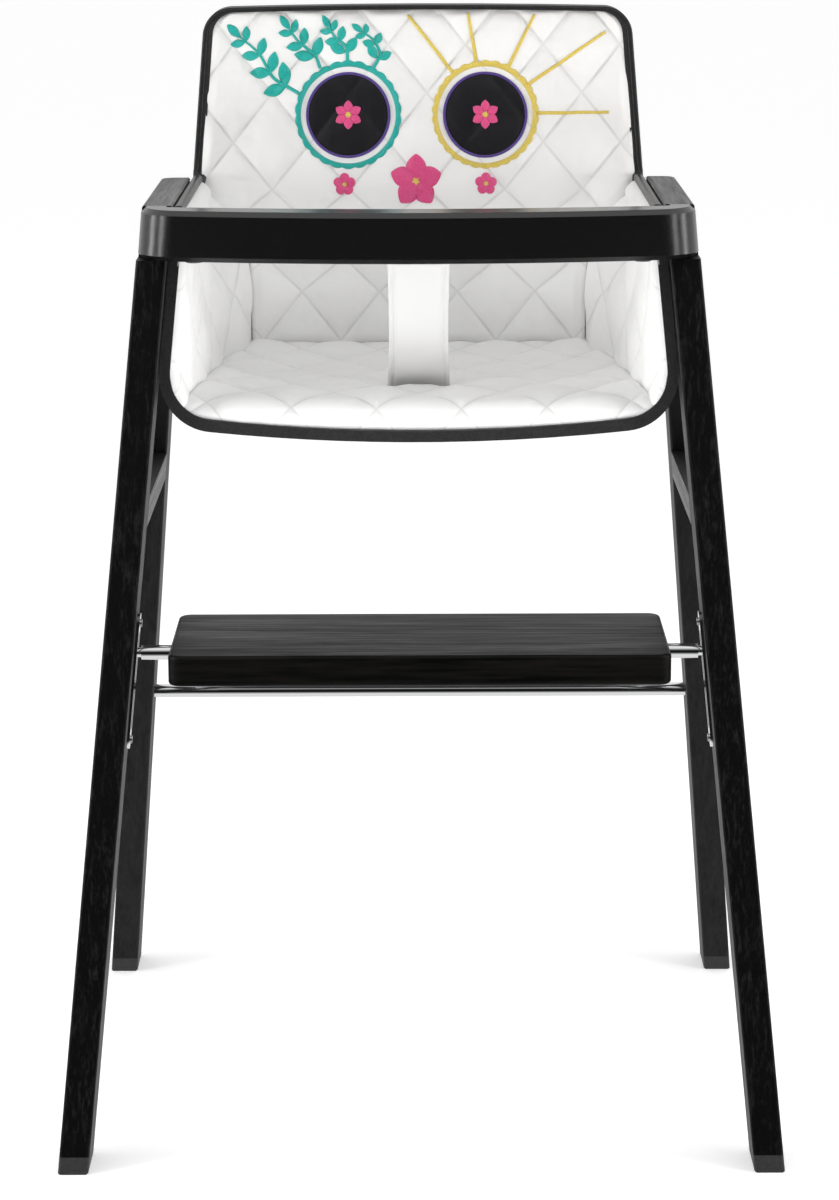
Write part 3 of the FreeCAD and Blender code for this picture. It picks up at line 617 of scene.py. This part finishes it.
def back_half(z, inset):
    """The back lining's right half at a level, from the middle outwards."""
    y = back_base_y(z)
    if z < RIM_TOP:
        end, before = seam_point(z)
        inner = 0.135 + 0.05 * (z - SEAT_LEVEL)
        line = [(0, y), (inner, y)] + [tuple(np.array(p) + (0, 0.001)) for p in before] + [tuple(end)]
    else:
        t = float(smoothstep((z - RIM_TOP) / 0.10))
        inner = 0.143 + 0.02 * t
        edge = float(shell_x(z)) - LIP_INSET
        line = [(0, y), (inner, y), (inner + 0.55 * (edge - inner), y - 0.0036),
                (edge, float(lip_y(z)) - LIP_BEFORE)]
    smoothed = smooth_line(line, 0.0055)
    if inset > 0:
        steps = np.r_[0, np.cumsum(np.linalg.norm(np.diff(smoothed, axis=0), axis=1))]
        smoothed = smoothed[steps <= steps[-1] - inset]
    return smoothed


rows_z, rows_inset = back_rows()
HALF = 91
back_grid, back_s = [], []
for z, inset in zip(rows_z, rows_inset):
    half, s = even_points(back_half(float(z), float(inset)), HALF)
    crown = -0.0025 * (half[:, 0] / 0.18) ** 2 * float(smoothstep((z - 0.78) / 0.11))
    right = np.stack([half[:, 0], half[:, 1], z + crown], 1)
    left = right[:0:-1] * (-1, 1, 1)
    back_grid.append(np.vstack([left, right]))
    back_s.append(np.r_[-s[:0:-1], s])
back_grid = np.array(back_grid)
back_s = np.array(back_s)
back_normal = grid_normals(back_grid)
if back_normal[10, HALF, 1] > 0:
    back_normal = -back_normal


def back_lattice(s, z):
    """Quilting coordinates on the back, at a distance s from its middle."""
    drift = np.interp(z, [0.653, 0.741], [0.0, 0.008])
    p = (s - drift) / DIAMOND_W
    q = np.interp(z, ROW_Z, ROW_N) / 2
    return p + q, p - q


def make_pad(name, grid, normal, a, b, radii, depth, extra=None, gain=1.0, fade=0.010):
    """Front: the base grid raised by the quilting and rolled down at its borders. Back: a plain offset."""
    u0, u1, v0, v1 = edge_distance(grid)
    drop = sum(rolled(e, r) if r else 0.0 for e, r in zip((u0, u1, v0, v1), radii))
    drop = np.minimum(drop, max(radii) + 0.001)
    nearest = np.minimum(np.minimum(u0, u1), np.minimum(v0, v1))
    high = puff(a, b) * gain * smoothstep(nearest / fade)
    if extra is not None:
        high = high + extra
    front = grid + normal * (high - drop)[..., None]
    thick = np.minimum(depth, drop + 0.0008 + 0.9 * np.maximum(nearest - 0.003, 0))
    behind = grid - normal * thick[..., None]
    quilt = np.stack([a, b, nearest], -1)
    return grid_mesh(name, front, behind, quilt, white), front


z_grid = back_grid[..., 2]
a, b = back_lattice(back_s, z_grid)
# Dense stitching presses the quilting flat under the two round motifs
FLOWERS = ((-0.0615, 0.8055), (0.0595, 0.8055))
pressed = sum(smoothstep((0.048 - np.hypot(back_s - cx, z_grid - cz)) / 0.008) for cx, cz in FLOWERS)
back_pad, back_front = make_pad("back_cushion", back_grid, back_normal, a, b,
                                (0.0030, 0.0035, 0.0032, 0.0032), 0.0075, gain=0.9 - 0.65 * pressed)
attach(back_pad, "frame")
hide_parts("back_pad")


def on_back(x, z, lift=0.0):
    """A point on the quilted back at (x, z), and so much above it."""
    x, z = np.asarray(x, float), np.asarray(z, float)
    row = np.interp(z, rows_z, np.arange(len(rows_z)))
    r0 = np.clip(np.floor(row).astype(int), 0, len(rows_z) - 2)
    t = row - r0
    span = back_s[r0, -1] * (1 - t) + back_s[r0 + 1, -1] * t
    col = (x / span + 1) * (HALF - 1)
    c0 = np.clip(np.floor(col).astype(int), 0, 2 * HALF - 3)
    c = col - c0
    t, c = t[..., None], c[..., None]

    def mix(g):
        return ((g[r0, c0] * (1 - c) + g[r0, c0 + 1] * c) * (1 - t)
                + (g[r0 + 1, c0] * (1 - c) + g[r0 + 1, c0 + 1] * c) * t)
    return mix(back_front) + mix(back_normal) * np.asarray(lift)[..., None]


# ---------------------------------------------------------------- the sides' linings

SEAM_TUCK = 0.0045         # the side lining's edge runs on behind the back's


def side_line(z):
    """The side lining at a level, from its seam with the back to the front rim."""
    corner, bend_a, bend_b, front = section(z)
    start, _ = seam_point(z)
    points = [start]
    for p in (bend_a, bend_b):
        if p[1] < start[1] - 0.004:
            points.append(p)
    if len(points) == 1:
        points.append(np.array([min(start[0], bend_b[0]), start[1] - 0.012]))
    points.append(front)
    first = np.array(points[1]) - np.array(points[0])
    points[0] = points[0] - first / np.linalg.norm(first) * SEAM_TUCK
    smoothed = smooth_line(points, 0.011)
    way = np.gradient(smoothed, axis=0)
    way /= np.linalg.norm(way, axis=1, keepdims=True)
    outward = np.stack([-way[:, 1], way[:, 0]], 1)
    return smoothed + outward * BASE_SHIFT


SIDE_LOW = 0.598
SIDE_HIGH = RIM_TOP - 0.0004
side_z = np.r_[np.arange(SIDE_LOW, SIDE_HIGH, SPACING), SIDE_HIGH]
SIDE_COUNT = 151
side_grid, side_s = [], []
for z in side_z:
    line, s = even_points(side_line(float(z)), SIDE_COUNT)
    side_grid.append(np.stack([line[:, 0], line[:, 1], np.full(SIDE_COUNT, z)], 1))
    side_s.append(s)
side_grid, side_s = np.array(side_grid), np.array(side_s)
side_normal = grid_normals(side_grid)
if side_normal[20, 40, 0] > 0:
    side_normal = -side_normal
zz = side_grid[..., 2]
p = (side_s - 0.118) / 0.078
q = (zz - (0.6445 - 0.14 * (side_s - 0.118))) / 0.085
folds = (0.0012 * np.exp(-((side_s - 0.032) / 0.008) ** 2)
         - 0.0010 * np.exp(-((side_s - 0.048) / 0.007) ** 2)
         + 0.0006 * np.exp(-((side_s - 0.064) / 0.008) ** 2))
folds *= smoothstep((0.70 - zz) / 0.03)
for sign, label in ((1, "right"), (-1, "left")):
    grid, normal = side_grid * (sign, 1, 1), side_normal * (sign, 1, 1)
    aa, bb = p + q, p - q
    if sign > 0:
        grid, normal = grid[:, ::-1], normal[:, ::-1]
        aa, bb, ff = aa[:, ::-1], bb[:, ::-1], folds[:, ::-1]
        radii = (0.002, 0.0055, 0.0055, 0.002)
    else:
        ff = folds
        radii = (0.002, 0.0055, 0.002, 0.0055)
    pad, _ = make_pad("side_cushion_" + label, grid, normal, aa, bb, radii, 0.0065, extra=ff, gain=0.8)
    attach(pad, "frame")
    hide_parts("side_pad_" + label)

# ---------------------------------------------------------------- the seat

seat_front_x = [0.0, 0.072, 0.144, 0.177, 0.187, 0.200]
seat_front_z = [0.5777, 0.5790, 0.5830, 0.5880, 0.5945, 0.6080]
seat_edge = side_grid[np.argmin(np.abs(side_z - 0.603))]
edge_by_y = seat_edge[np.argsort(seat_edge[:, 1])]


def seat_half_width(y):
    """Out to the side linings' lower edge, and just under it."""
    return np.interp(y, edge_by_y[:, 1], edge_by_y[:, 0]) + 0.0015


def seat_line(f):
    """The seat from back to front at a fraction f of its half width."""
    x_back = abs(f) * seat_half_width(0.14)
    x_front = abs(f) * 0.1885
    z_front = float(np.interp(x_front, seat_front_x, seat_front_z)) + 0.0005
    y_front = float(rim_y(z_front)) + 0.0015
    lift = 0.0035 * abs(f) ** 6
    rise = 0.0035 * abs(f) ** 4
    points = [(0.1560, 0.6090 + lift), (0.12, 0.6045 + lift), (0.03, 0.6010 + lift), (-0.06, 0.6010 + lift),
              (-0.108, 0.6000 + rise), (-0.1275, 0.5955 + rise), (y_front, z_front)]
    return smooth_line(points, 0.0075)


SEAT_COLS, SEAT_ROWS = 171, 150
seat_grid = np.zeros((SEAT_ROWS, SEAT_COLS, 3))
seat_v = np.zeros((SEAT_ROWS, SEAT_COLS))
for j, f in enumerate(np.linspace(-1, 1, SEAT_COLS)):
    line, s = even_points(seat_line(f), SEAT_ROWS)
    seat_grid[:, j, 0] = f * seat_half_width(line[:, 0])
    seat_grid[:, j, 1:] = line
    seat_v[:, j] = s[-1] - s
seat_normal = grid_normals(seat_grid)
if seat_normal[40, 80, 2] < 0:
    seat_normal = -seat_normal
sx, sy = seat_grid[..., 0], seat_grid[..., 1]
p = (sx - 0.0345) / 0.069
q = (seat_v - 0.0175) / 0.085
STRAP_FOOT_Y = -0.0300
dip = -0.0065 * np.exp(-(sx / 0.034) ** 4 - ((sy - STRAP_FOOT_Y) / 0.017) ** 2)
angle = np.arctan2(sy - STRAP_FOOT_Y, np.abs(sx) - 0.02)
far = np.hypot(sx, sy - STRAP_FOOT_Y)
wrinkle = 0.0008 * np.sin(9 * angle + 25 * far) * np.exp(-((far - 0.055) / 0.035) ** 2)
hollow = -0.002 * np.exp(-(sx / 0.10) ** 2 - ((sy - 0.03) / 0.08) ** 2)
seat_pad, _ = make_pad("seat_cushion", seat_grid[::-1], seat_normal[::-1], (p + q)[::-1], (p - q)[::-1],
                       (0.005, 0.0022, 0.0025, 0.0025), 0.007, extra=(dip + wrinkle + hollow)[::-1],
                       gain=0.62)
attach(seat_pad, "frame")
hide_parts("seat_pad")

# ---------------------------------------------------------------- the strap between the legs

STRAP_TOP = np.array([0.0, -0.1402, 0.7160])
STRAP_LOW = np.array([0.0, -0.0260, 0.5975])
STRAP_HALF = 0.025
STRAP_THICK = 0.0036


def strap_mesh():
    """A padded strap with rounded sides and a stitched groove near each."""
    along = STRAP_LOW - STRAP_TOP
    length = np.linalg.norm(along)
    way = along / length
    out = np.cross(way, (1, 0, 0))
    if out[1] > 0:
        out = -out
    t = np.linspace(0, 1, 64)
    around = np.linspace(0, 2 * np.pi, 73)[:-1]
    verts, quilt = [], []
    for k in t:
        width = STRAP_HALF * (1 - 0.030 * math.sin(math.pi * k)) + 0.0012 * k ** 4
        bow = 0.0014 * math.sin(math.pi * k)
        centre = STRAP_TOP + along * k + out * bow
        thick = STRAP_THICK * (1 + 0.15 * math.sin(math.pi * k))
        for angle in around:
            c, s = math.cos(angle), math.sin(angle)
            x = width * math.copysign(abs(c) ** 0.42, c)
            h = thick * math.copysign(abs(s) ** 0.75, s)
            seam = abs(abs(x) - (width - 0.0042))
            h *= 1 - 0.26 * math.exp(-(seam / 0.0011) ** 2)
            verts.append(centre + np.array([x, 0, 0]) + out * h)
            quilt.append((x, k * length, 0.02))
    n = len(around)
    faces = []
    for i in range(len(t) - 1):
        for j in range(n):
            jj = (j + 1) % n
            faces.append((i * n + j, i * n + jj, (i + 1) * n + jj, (i + 1) * n + j))
    faces.append(tuple(range(n - 1, -1, -1)))
    last = (len(t) - 1) * n
    faces.append(tuple(last + j for j in range(n)))
    return new_piece("crotch_strap_cover", [tuple(v) for v in verts], faces, strap_white_painted_shade,
                     quilt)


strap = strap_mesh()
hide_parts("crotch_strap")
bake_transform(strap)

# ---------------------------------------------------------------- the rim's piping

def swept(name, path, widths, heights, up, material, ring=14):
    """A rounded bead swept along a path; up is the direction it stands proud in, at each point."""
    path = np.asarray(path, float)
    way = np.gradient(path, axis=0)
    way /= np.linalg.norm(way, axis=1, keepdims=True)
    up = np.asarray(up, float)
    up = up - way * (up * way).sum(1, keepdims=True)
    up /= np.linalg.norm(up, axis=1, keepdims=True)
    across = np.cross(way, up)
    turn = np.linspace(0, 2 * np.pi, ring + 1)[:-1]
    c, s = np.cos(turn), np.sin(turn)
    c = np.sign(c) * np.abs(c) ** 0.8
    s = np.where(s > 0, np.abs(s) ** 0.8, s * 0.35)
    verts = (path[:, None] + across[:, None] * (c[None, :, None] * np.asarray(widths)[:, None, None])
             + up[:, None] * (s[None, :, None] * np.asarray(heights)[:, None, None]))
    n, m = verts.shape[:2]
    index = np.arange(n * m).reshape(n, m)
    nxt = np.roll(index, -1, axis=1)
    faces = np.stack([index[:-1], nxt[:-1], nxt[1:], index[1:]], -1).reshape(-1, 4).tolist()
    faces += [index[0, ::-1].tolist(), index[-1].tolist()]
    return new_piece(name, verts.reshape(-1, 3).tolist(), faces, material)


BEAD_STEP = 0.004
ARM_INSET, ARM_HALF = 0.0046, 0.0044      # along the armrest: from the shell's outside, and half width
SIDE_INSET, SIDE_HALF = 0.0024, 0.0021    # the same up the backrest
TOP_HALF = 0.0011
BEAD_OFF = 0.0002                         # off the lip's plane
UPRIGHT = (0, -1, 0.2)                    # the way the bead stands proud on the backrest
CORNER_R, TOP_R = 0.008, 0.0235
TOP_ARCH = 0.0025


def rim_path():
    """Right half of the rim's bead: back along the armrest, up the backrest and to the top's middle."""
    points, widths, ups = [], [], []

    def add(x, y, z, w, up):
        points.append((x, y, z))
        widths.append(w)
        ups.append(up)

    def add_upright(x, z, w):
        add(x, float(lip_y(z)) - BEAD_OFF, z, w, UPRIGHT)
    arm_x = float(shell_x(RIM_TOP)) - ARM_INSET
    corner_y = float(lip_y(RIM_TOP))
    for y in np.arange(-0.0965, corner_y - CORNER_R, BEAD_STEP):
        add(arm_x, y, RIM_TOP + BEAD_OFF, ARM_HALF, (0, 0, 1))
    for k in np.linspace(0, 1, 9):
        angle = k * (math.pi / 2 - 0.204)
        add(arm_x + (ARM_INSET - SIDE_INSET) * k, corner_y - CORNER_R * (1 - math.sin(angle)) + 0.0006,
            RIM_TOP + CORNER_R * (1 - math.cos(angle)), ARM_HALF + (SIDE_HALF - ARM_HALF) * k,
            (0, -math.sin(angle), math.cos(angle)))
    end_z = TOP_Z - 0.0042 - TOP_R
    for z in np.arange(RIM_TOP + CORNER_R + 0.003, end_z, BEAD_STEP):
        add_upright(float(shell_x(z)) - SIDE_INSET, z, SIDE_HALF)
    for k in np.linspace(0, 1, 12):
        angle = k * math.pi / 2
        add_upright(float(shell_x(end_z)) - SIDE_INSET - TOP_R * (1 - math.cos(angle)),
                    end_z + TOP_R * math.sin(angle), SIDE_HALF + (TOP_HALF - SIDE_HALF) * k)
    x_top = points[-1][0]
    z_top = points[-1][2]
    for x in np.arange(x_top - BEAD_STEP, 0.001, -BEAD_STEP):
        add_upright(x, z_top + TOP_ARCH * (1 - (x / x_top) ** 2), TOP_HALF)
    add_upright(0.0, z_top + TOP_ARCH, TOP_HALF)
    return np.array(points), np.array(widths), np.array(ups, float)


path, widths, ups = rim_path()
whole_path = np.vstack([path, path[-2::-1] * (-1, 1, 1)])
whole_widths = np.r_[widths, widths[-2::-1]]
whole_ups = np.vstack([ups, ups[-2::-1] * (-1, 1, 1)])
heights = np.where(whole_widths > 0.004, 0.0042, whole_widths * 0.55)
rim = swept("rim_piping", whole_path, whole_widths, heights, whole_ups, trim_dark)
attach(rim, "frame")

# ---------------------------------------------------------------- embroidery on the back

def colour_of(red, green, blue):
    """A linear colour from 8-bit values."""
    return tuple((c / 255.0) ** 2.2 for c in (red, green, blue))


thread = {
    "dark": embroidery_material("thread_dark", colour_of(16, 13, 21), 0.03),
    "violet": embroidery_material("thread_violet", colour_of(88, 62, 150)),
    "teal": embroidery_material("thread_teal", colour_of(18, 182, 170)),
    "yellow": embroidery_material("thread_yellow", colour_of(240, 212, 96)),
    "pink": embroidery_material("thread_pink", colour_of(246, 84, 146)),
}
stitched = {key: ([], [], []) for key in thread}
STITCH_HIGH = 0.0012
STITCH_STEP = 0.0012       # along a line of stitches
STITCH_EDGE = 0.0002       # the stitches' height at a patch's edge
STITCH_SUNK = 0.0006       # the patches' undersides lie in the lining
OVER = 0.0013              # how much higher a motif lies that is stitched over another


def add_patch(colour, x, z, lift, stitch, over=False, turns=False, centre=False):
    """A closed patch of stitches on the quilted back, from a grid of its (x, z) and their heights.

    turns: the last row meets the first, as in a ring. centre: the first column is one point.
    """
    verts, faces, marks = stitched[colour]
    start, n, m = len(verts), *x.shape
    for high in (lift, np.full(x.shape, -STITCH_SUNK)):
        verts.extend(on_back(x, z, high + OVER * over).reshape(-1, 3).tolist())
        marks.extend(np.stack([stitch, stitch * 0, stitch * 0], -1).reshape(-1, 3).tolist())
    top = start + np.arange(n * m).reshape(n, m)
    quads = np.stack([top[:-1, :-1], top[1:, :-1], top[1:, 1:], top[:-1, 1:]], -1).reshape(-1, 4)
    faces.extend(quads.tolist())
    faces.extend((quads[:, ::-1] + n * m).tolist())
    walls = [top[:, -1]]
    if not centre:
        walls.append(top[:, 0])
    if not turns:
        walls += [top[0], top[-1]]
    for line in walls:
        faces.extend(np.stack([line[:-1], line[1:], line[1:] + n * m, line[:-1] + n * m], -1).tolist())


def stroke(colour, points, width):
    """A satin-stitched line that tapers as its widths say."""
    line = resample(np.asarray(points, float), STITCH_STEP)
    if len(line) > 8:
        line = smooth_line(points, 0.003, STITCH_STEP)
    way = np.gradient(line, axis=0)
    way /= np.linalg.norm(way, axis=1, keepdims=True)
    across = np.stack([-way[:, 1], way[:, 0]], 1)
    t = np.linspace(0, 1, len(line))
    w = np.interp(t, np.linspace(0, 1, len(width)), width)
    k = np.linspace(-1, 1, 7)
    x = line[:, None, 0] + across[:, None, 0] * k * w[:, None]
    z = line[:, None, 1] + across[:, None, 1] * k * w[:, None]
    lift = np.broadcast_to(STITCH_HIGH * np.sqrt(np.maximum(1 - k ** 2, 0)) + STITCH_EDGE, x.shape)
    run = np.broadcast_to(np.arange(len(line))[:, None] * STITCH_STEP, x.shape)
    add_patch(colour, x, z, lift, run)


def disc(colour, cx, cz, inner, outer, lobes=0, depth=0.0, count=96, over=False):
    """A stitched disc or ring, with a lobed edge if asked."""
    angle = np.linspace(0, 2 * np.pi, count + 1)
    edge = np.full(angle.shape, outer)
    if lobes:
        edge = outer * (1 + depth * (np.abs(np.sin(angle * lobes / 2)) - 1))
    k = np.linspace(0, 1, max(9, int((outer - inner) / STITCH_STEP) + 1))
    r = inner + (edge[:, None] - inner) * k
    x = cx + r * np.cos(angle)[:, None]
    z = cz + r * np.sin(angle)[:, None]
    dome = np.sqrt(np.maximum(1 - (2 * k - 1) ** 2, 0)) if inner > 0 else np.sqrt(np.maximum(1 - k ** 4, 0))
    lift = np.broadcast_to(STITCH_HIGH * dome + STITCH_EDGE, x.shape)
    run = np.broadcast_to((angle * outer)[:, None], x.shape) if inner > 0 else x
    add_patch(colour, x, z, lift, run, over, turns=True, centre=inner == 0)


def petal(colour, cx, cz, angle, start, end, width, over=False):
    """A pointed leaf from start to end along a direction."""
    k = np.linspace(0, 1, 15)
    run = start + (end - start) * k
    pts = np.stack([cx + run * math.cos(angle), cz + run * math.sin(angle)], 1)
    w = width * np.sin(np.pi * np.clip(k * 0.96 + 0.02, 0, 1)) ** 0.8
    across = np.array([-math.sin(angle), math.cos(angle)])
    j = np.linspace(-1, 1, 7)
    x = pts[:, None, 0] + across[0] * j * w[:, None]
    z = pts[:, None, 1] + across[1] * j * w[:, None]
    lift = np.broadcast_to(STITCH_HIGH * np.sqrt(np.maximum(1 - j ** 2, 0)) + STITCH_EDGE, x.shape)
    add_patch(colour, x, z, lift, np.broadcast_to(run[:, None], x.shape), over)


LEFT_FLOWER, RIGHT_FLOWER = FLOWERS
for (cx, cz), colour, lobes in ((LEFT_FLOWER, "teal", 26), (RIGHT_FLOWER, "yellow", 30)):
    disc("dark", cx, cz, 0.0, 0.0352, count=160)
    disc("violet", cx, cz, 0.0350, 0.0374, count=160)
    disc(colour, cx, cz, 0.0418, 0.0472, lobes=lobes, depth=0.03, count=312)


def sprig(colour, points, leaves, long, wide):
    """A curved stem with leaves on both sides and one at its tip."""
    points = np.asarray(points, float)
    stroke(colour, points, [0.0016, 0.0014, 0.0008])
    line, _ = even_points(smooth_line(points, 0.008), 60)
    way = np.gradient(line, axis=0)
    for i in range(leaves):
        k = int((i + 0.8) / (leaves + 0.3) * 59)
        heading = math.atan2(way[k, 1], way[k, 0])
        size = 1.0 - 0.45 * i / leaves
        for side in (-1, 1):
            petal(colour, *line[k], heading + side * 0.85, 0.001, long * size, wide * size)
    petal(colour, *line[-1], math.atan2(way[-1, 1], way[-1, 0]), -0.002, long * 0.7, wide * 0.7)


sprig("teal", [(-0.105, 0.824), (-0.128, 0.838), (-0.140, 0.860), (-0.158, 0.876)], 4, 0.021, 0.0056)
sprig("teal", [(-0.086, 0.846), (-0.090, 0.858), (-0.106, 0.870), (-0.114, 0.882)], 3, 0.018, 0.0050)
sprig("teal", [(-0.062, 0.850), (-0.062, 0.864), (-0.074, 0.873), (-0.078, 0.882)], 3, 0.016, 0.0046)
sprig("teal", [(-0.040, 0.845), (-0.032, 0.858), (-0.038, 0.870), (-0.050, 0.878)], 3, 0.014, 0.0042)
for tip in ((-0.0085, 0.8915), (0.0445, 0.8930), (0.103, 0.8920), (0.1665, 0.8785), (0.169, 0.8075)):
    dx, dz = tip[0] - RIGHT_FLOWER[0], tip[1] - RIGHT_FLOWER[1]
    length = math.hypot(dx, dz)
    ux, uz = dx / length, dz / length
    start = (RIGHT_FLOWER[0] + ux * 0.046, RIGHT_FLOWER[1] + uz * 0.046)
    middle = ((start[0] + tip[0]) / 2, (start[1] + tip[1]) / 2)
    stroke("yellow", [start, middle, tip], [0.0016, 0.0015, 0.0013])
for cx in (-0.0650, 0.0600):
    for i in range(5):
        angle = math.pi / 2 + i * 2 * math.pi / 5
        disc("pink", cx + 0.0055 * math.cos(angle), 0.7455 + 0.0055 * math.sin(angle), 0.0, 0.0044, count=28)
    disc("yellow", cx, 0.7455, 0.0, 0.0022, count=20)
for cx, cz in FLOWERS:
    for i in range(6):
        petal("pink", cx, cz, math.pi / 2 + i * 2 * math.pi / 6, 0.002, 0.0125, 0.0040, over=True)
    disc("yellow", cx, cz, 0.0, 0.0030, count=24, over=True)
for i in range(5):
    petal("pink", -0.0018, 0.7480, math.pi / 2 + i * 2 * math.pi / 5, 0.002, 0.0230, 0.0090)
disc("yellow", -0.0018, 0.7480, 0.0, 0.0042, count=28)

for key, (verts, faces, marks) in stitched.items():
    piece = new_piece("embroidery_" + key, verts, faces, thread[key], marks, merge=True)
    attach(piece, "frame")

# ---------------------------------------------------------------- the buttons' springs

for label in ("left", "right"):
    low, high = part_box("button_spring_" + label)
    coil = bpy.data.objects.new("coil_" + label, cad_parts["button_spring_" + label].data.copy())
    scene.collection.objects.link(coil)
    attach(coil, "bumper_bar")
    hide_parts("button_spring_" + label)
    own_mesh(coil)

# ---------------------------------------------------------------- floor and light

floor_mesh = bpy.data.meshes.new("floor")
floor_mesh.from_pydata([(-30, -30, 0), (30, -30, 0), (30, 30, 0), (-30, 30, 0)], [], [(0, 1, 2, 3)])
floor = bpy.data.objects.new("floor", floor_mesh)
scene.collection.objects.link(floor)
floor_material, tree, shader = new_material("floor", (0.9, 0.9, 0.9), 0.9)
shader.inputs["Emission Color"].default_value = (1, 1, 1, 1)
shader.inputs["Emission Strength"].default_value = 0.335
floor_mesh.materials.append(floor_material)
floor.visible_glossy = False

# A pale wall all round, seen by the camera only
WALL_AT, WALL_HIGH, WALL_SIDES = 26.0, 14.0, 48
turn = np.linspace(0, 2 * np.pi, WALL_SIDES + 1)[:-1]
ring = [(WALL_AT * math.cos(t), WALL_AT * math.sin(t), z) for z in (-0.01, WALL_HIGH) for t in turn]
wall_mesh = bpy.data.meshes.new("backdrop")
wall_mesh.from_pydata(ring, [], [(i, (i + 1) % WALL_SIDES, (i + 1) % WALL_SIDES + WALL_SIDES, i + WALL_SIDES)
                                 for i in range(WALL_SIDES)])
wall = bpy.data.objects.new("backdrop", wall_mesh)
scene.collection.objects.link(wall)
wall_material, tree, shader = new_material("backdrop", (0.9, 0.9, 0.9), 0.9)
shader.inputs["Emission Color"].default_value = (1, 1, 1, 1)
shader.inputs["Emission Strength"].default_value = 1.0
wall_mesh.materials.append(wall_material)
for seen in ("visible_diffuse", "visible_glossy", "visible_transmission", "visible_shadow"):
    setattr(wall, seen, False)

world = bpy.data.worlds.new("studio")
scene.world = world
world.use_nodes = True
tree = world.node_tree
background = tree.nodes["Background"]
where = tree.nodes.new("ShaderNodeTexCoord")
split = tree.nodes.new("ShaderNodeSeparateXYZ")
tree.links.new(where.outputs["Generated"], split.inputs[0])
lit = math_node(tree, "ADD", math_node(tree, "ABSOLUTE", split.outputs["Z"]),
                math_node(tree, "MULTIPLY", split.outputs["Y"], 0.55))
lit = math_node(tree, "MULTIPLY", math_node(tree, "ADD", lit, 1.0), 0.5)
level = ramp(tree, lit, [(0.0, 0.008), (0.38, 0.014), (0.50, 0.24), (0.76, 1.0), (1.0, 0.92)])
tree.links.new(level, background.inputs["Color"])
background.inputs["Strength"].default_value = 0.86


def area_light(name, at, look, size, power):
    """A rectangular lamp that faces a point and isn't seen by the camera."""
    data = bpy.data.lights.new(name, "AREA")
    data.shape = "RECTANGLE"
    data.size, data.size_y = size
    data.energy = power
    light = bpy.data.objects.new(name, data)
    scene.collection.objects.link(light)
    way = (np.array(look) - np.array(at)).astype(float)
    way /= np.linalg.norm(way)
    light.rotation_mode = "QUATERNION"
    light.rotation_quaternion = Vector(way).to_track_quat("-Z", "Y")
    light.location = at
    light.visible_camera = False
    return light


for side, power, strip in ((-1, 9.0, 13.0), (1, 7.0, 10.0)):
    fill = area_light("front_box_%d" % side, (side * 2.4, -2.3, 2.1), (0, 0, 0.65), (1.3, 1.3), power)
    fill.visible_glossy = False
    low = area_light("low_box_%d" % side, (side * 2.9, -1.4, 0.64), (0, 0, 0.66), (0.9, 0.8), 34.0)
    low.visible_glossy = False
    area_light("strip_%d" % side, (side * 2.4, -1.3, 1.2), (0, 0, 0.7), (0.30, 1.5), strip)
    area_light("edge_%d" % side, (side * 2.6, -0.1, 0.9), (0, 0, 0.6), (0.35, 1.8), strip)
front = area_light("front_box", (0, -2.0, 0.36), (0, 0, 0.68), (1.2, 0.3), 6.5)
front.visible_glossy = False
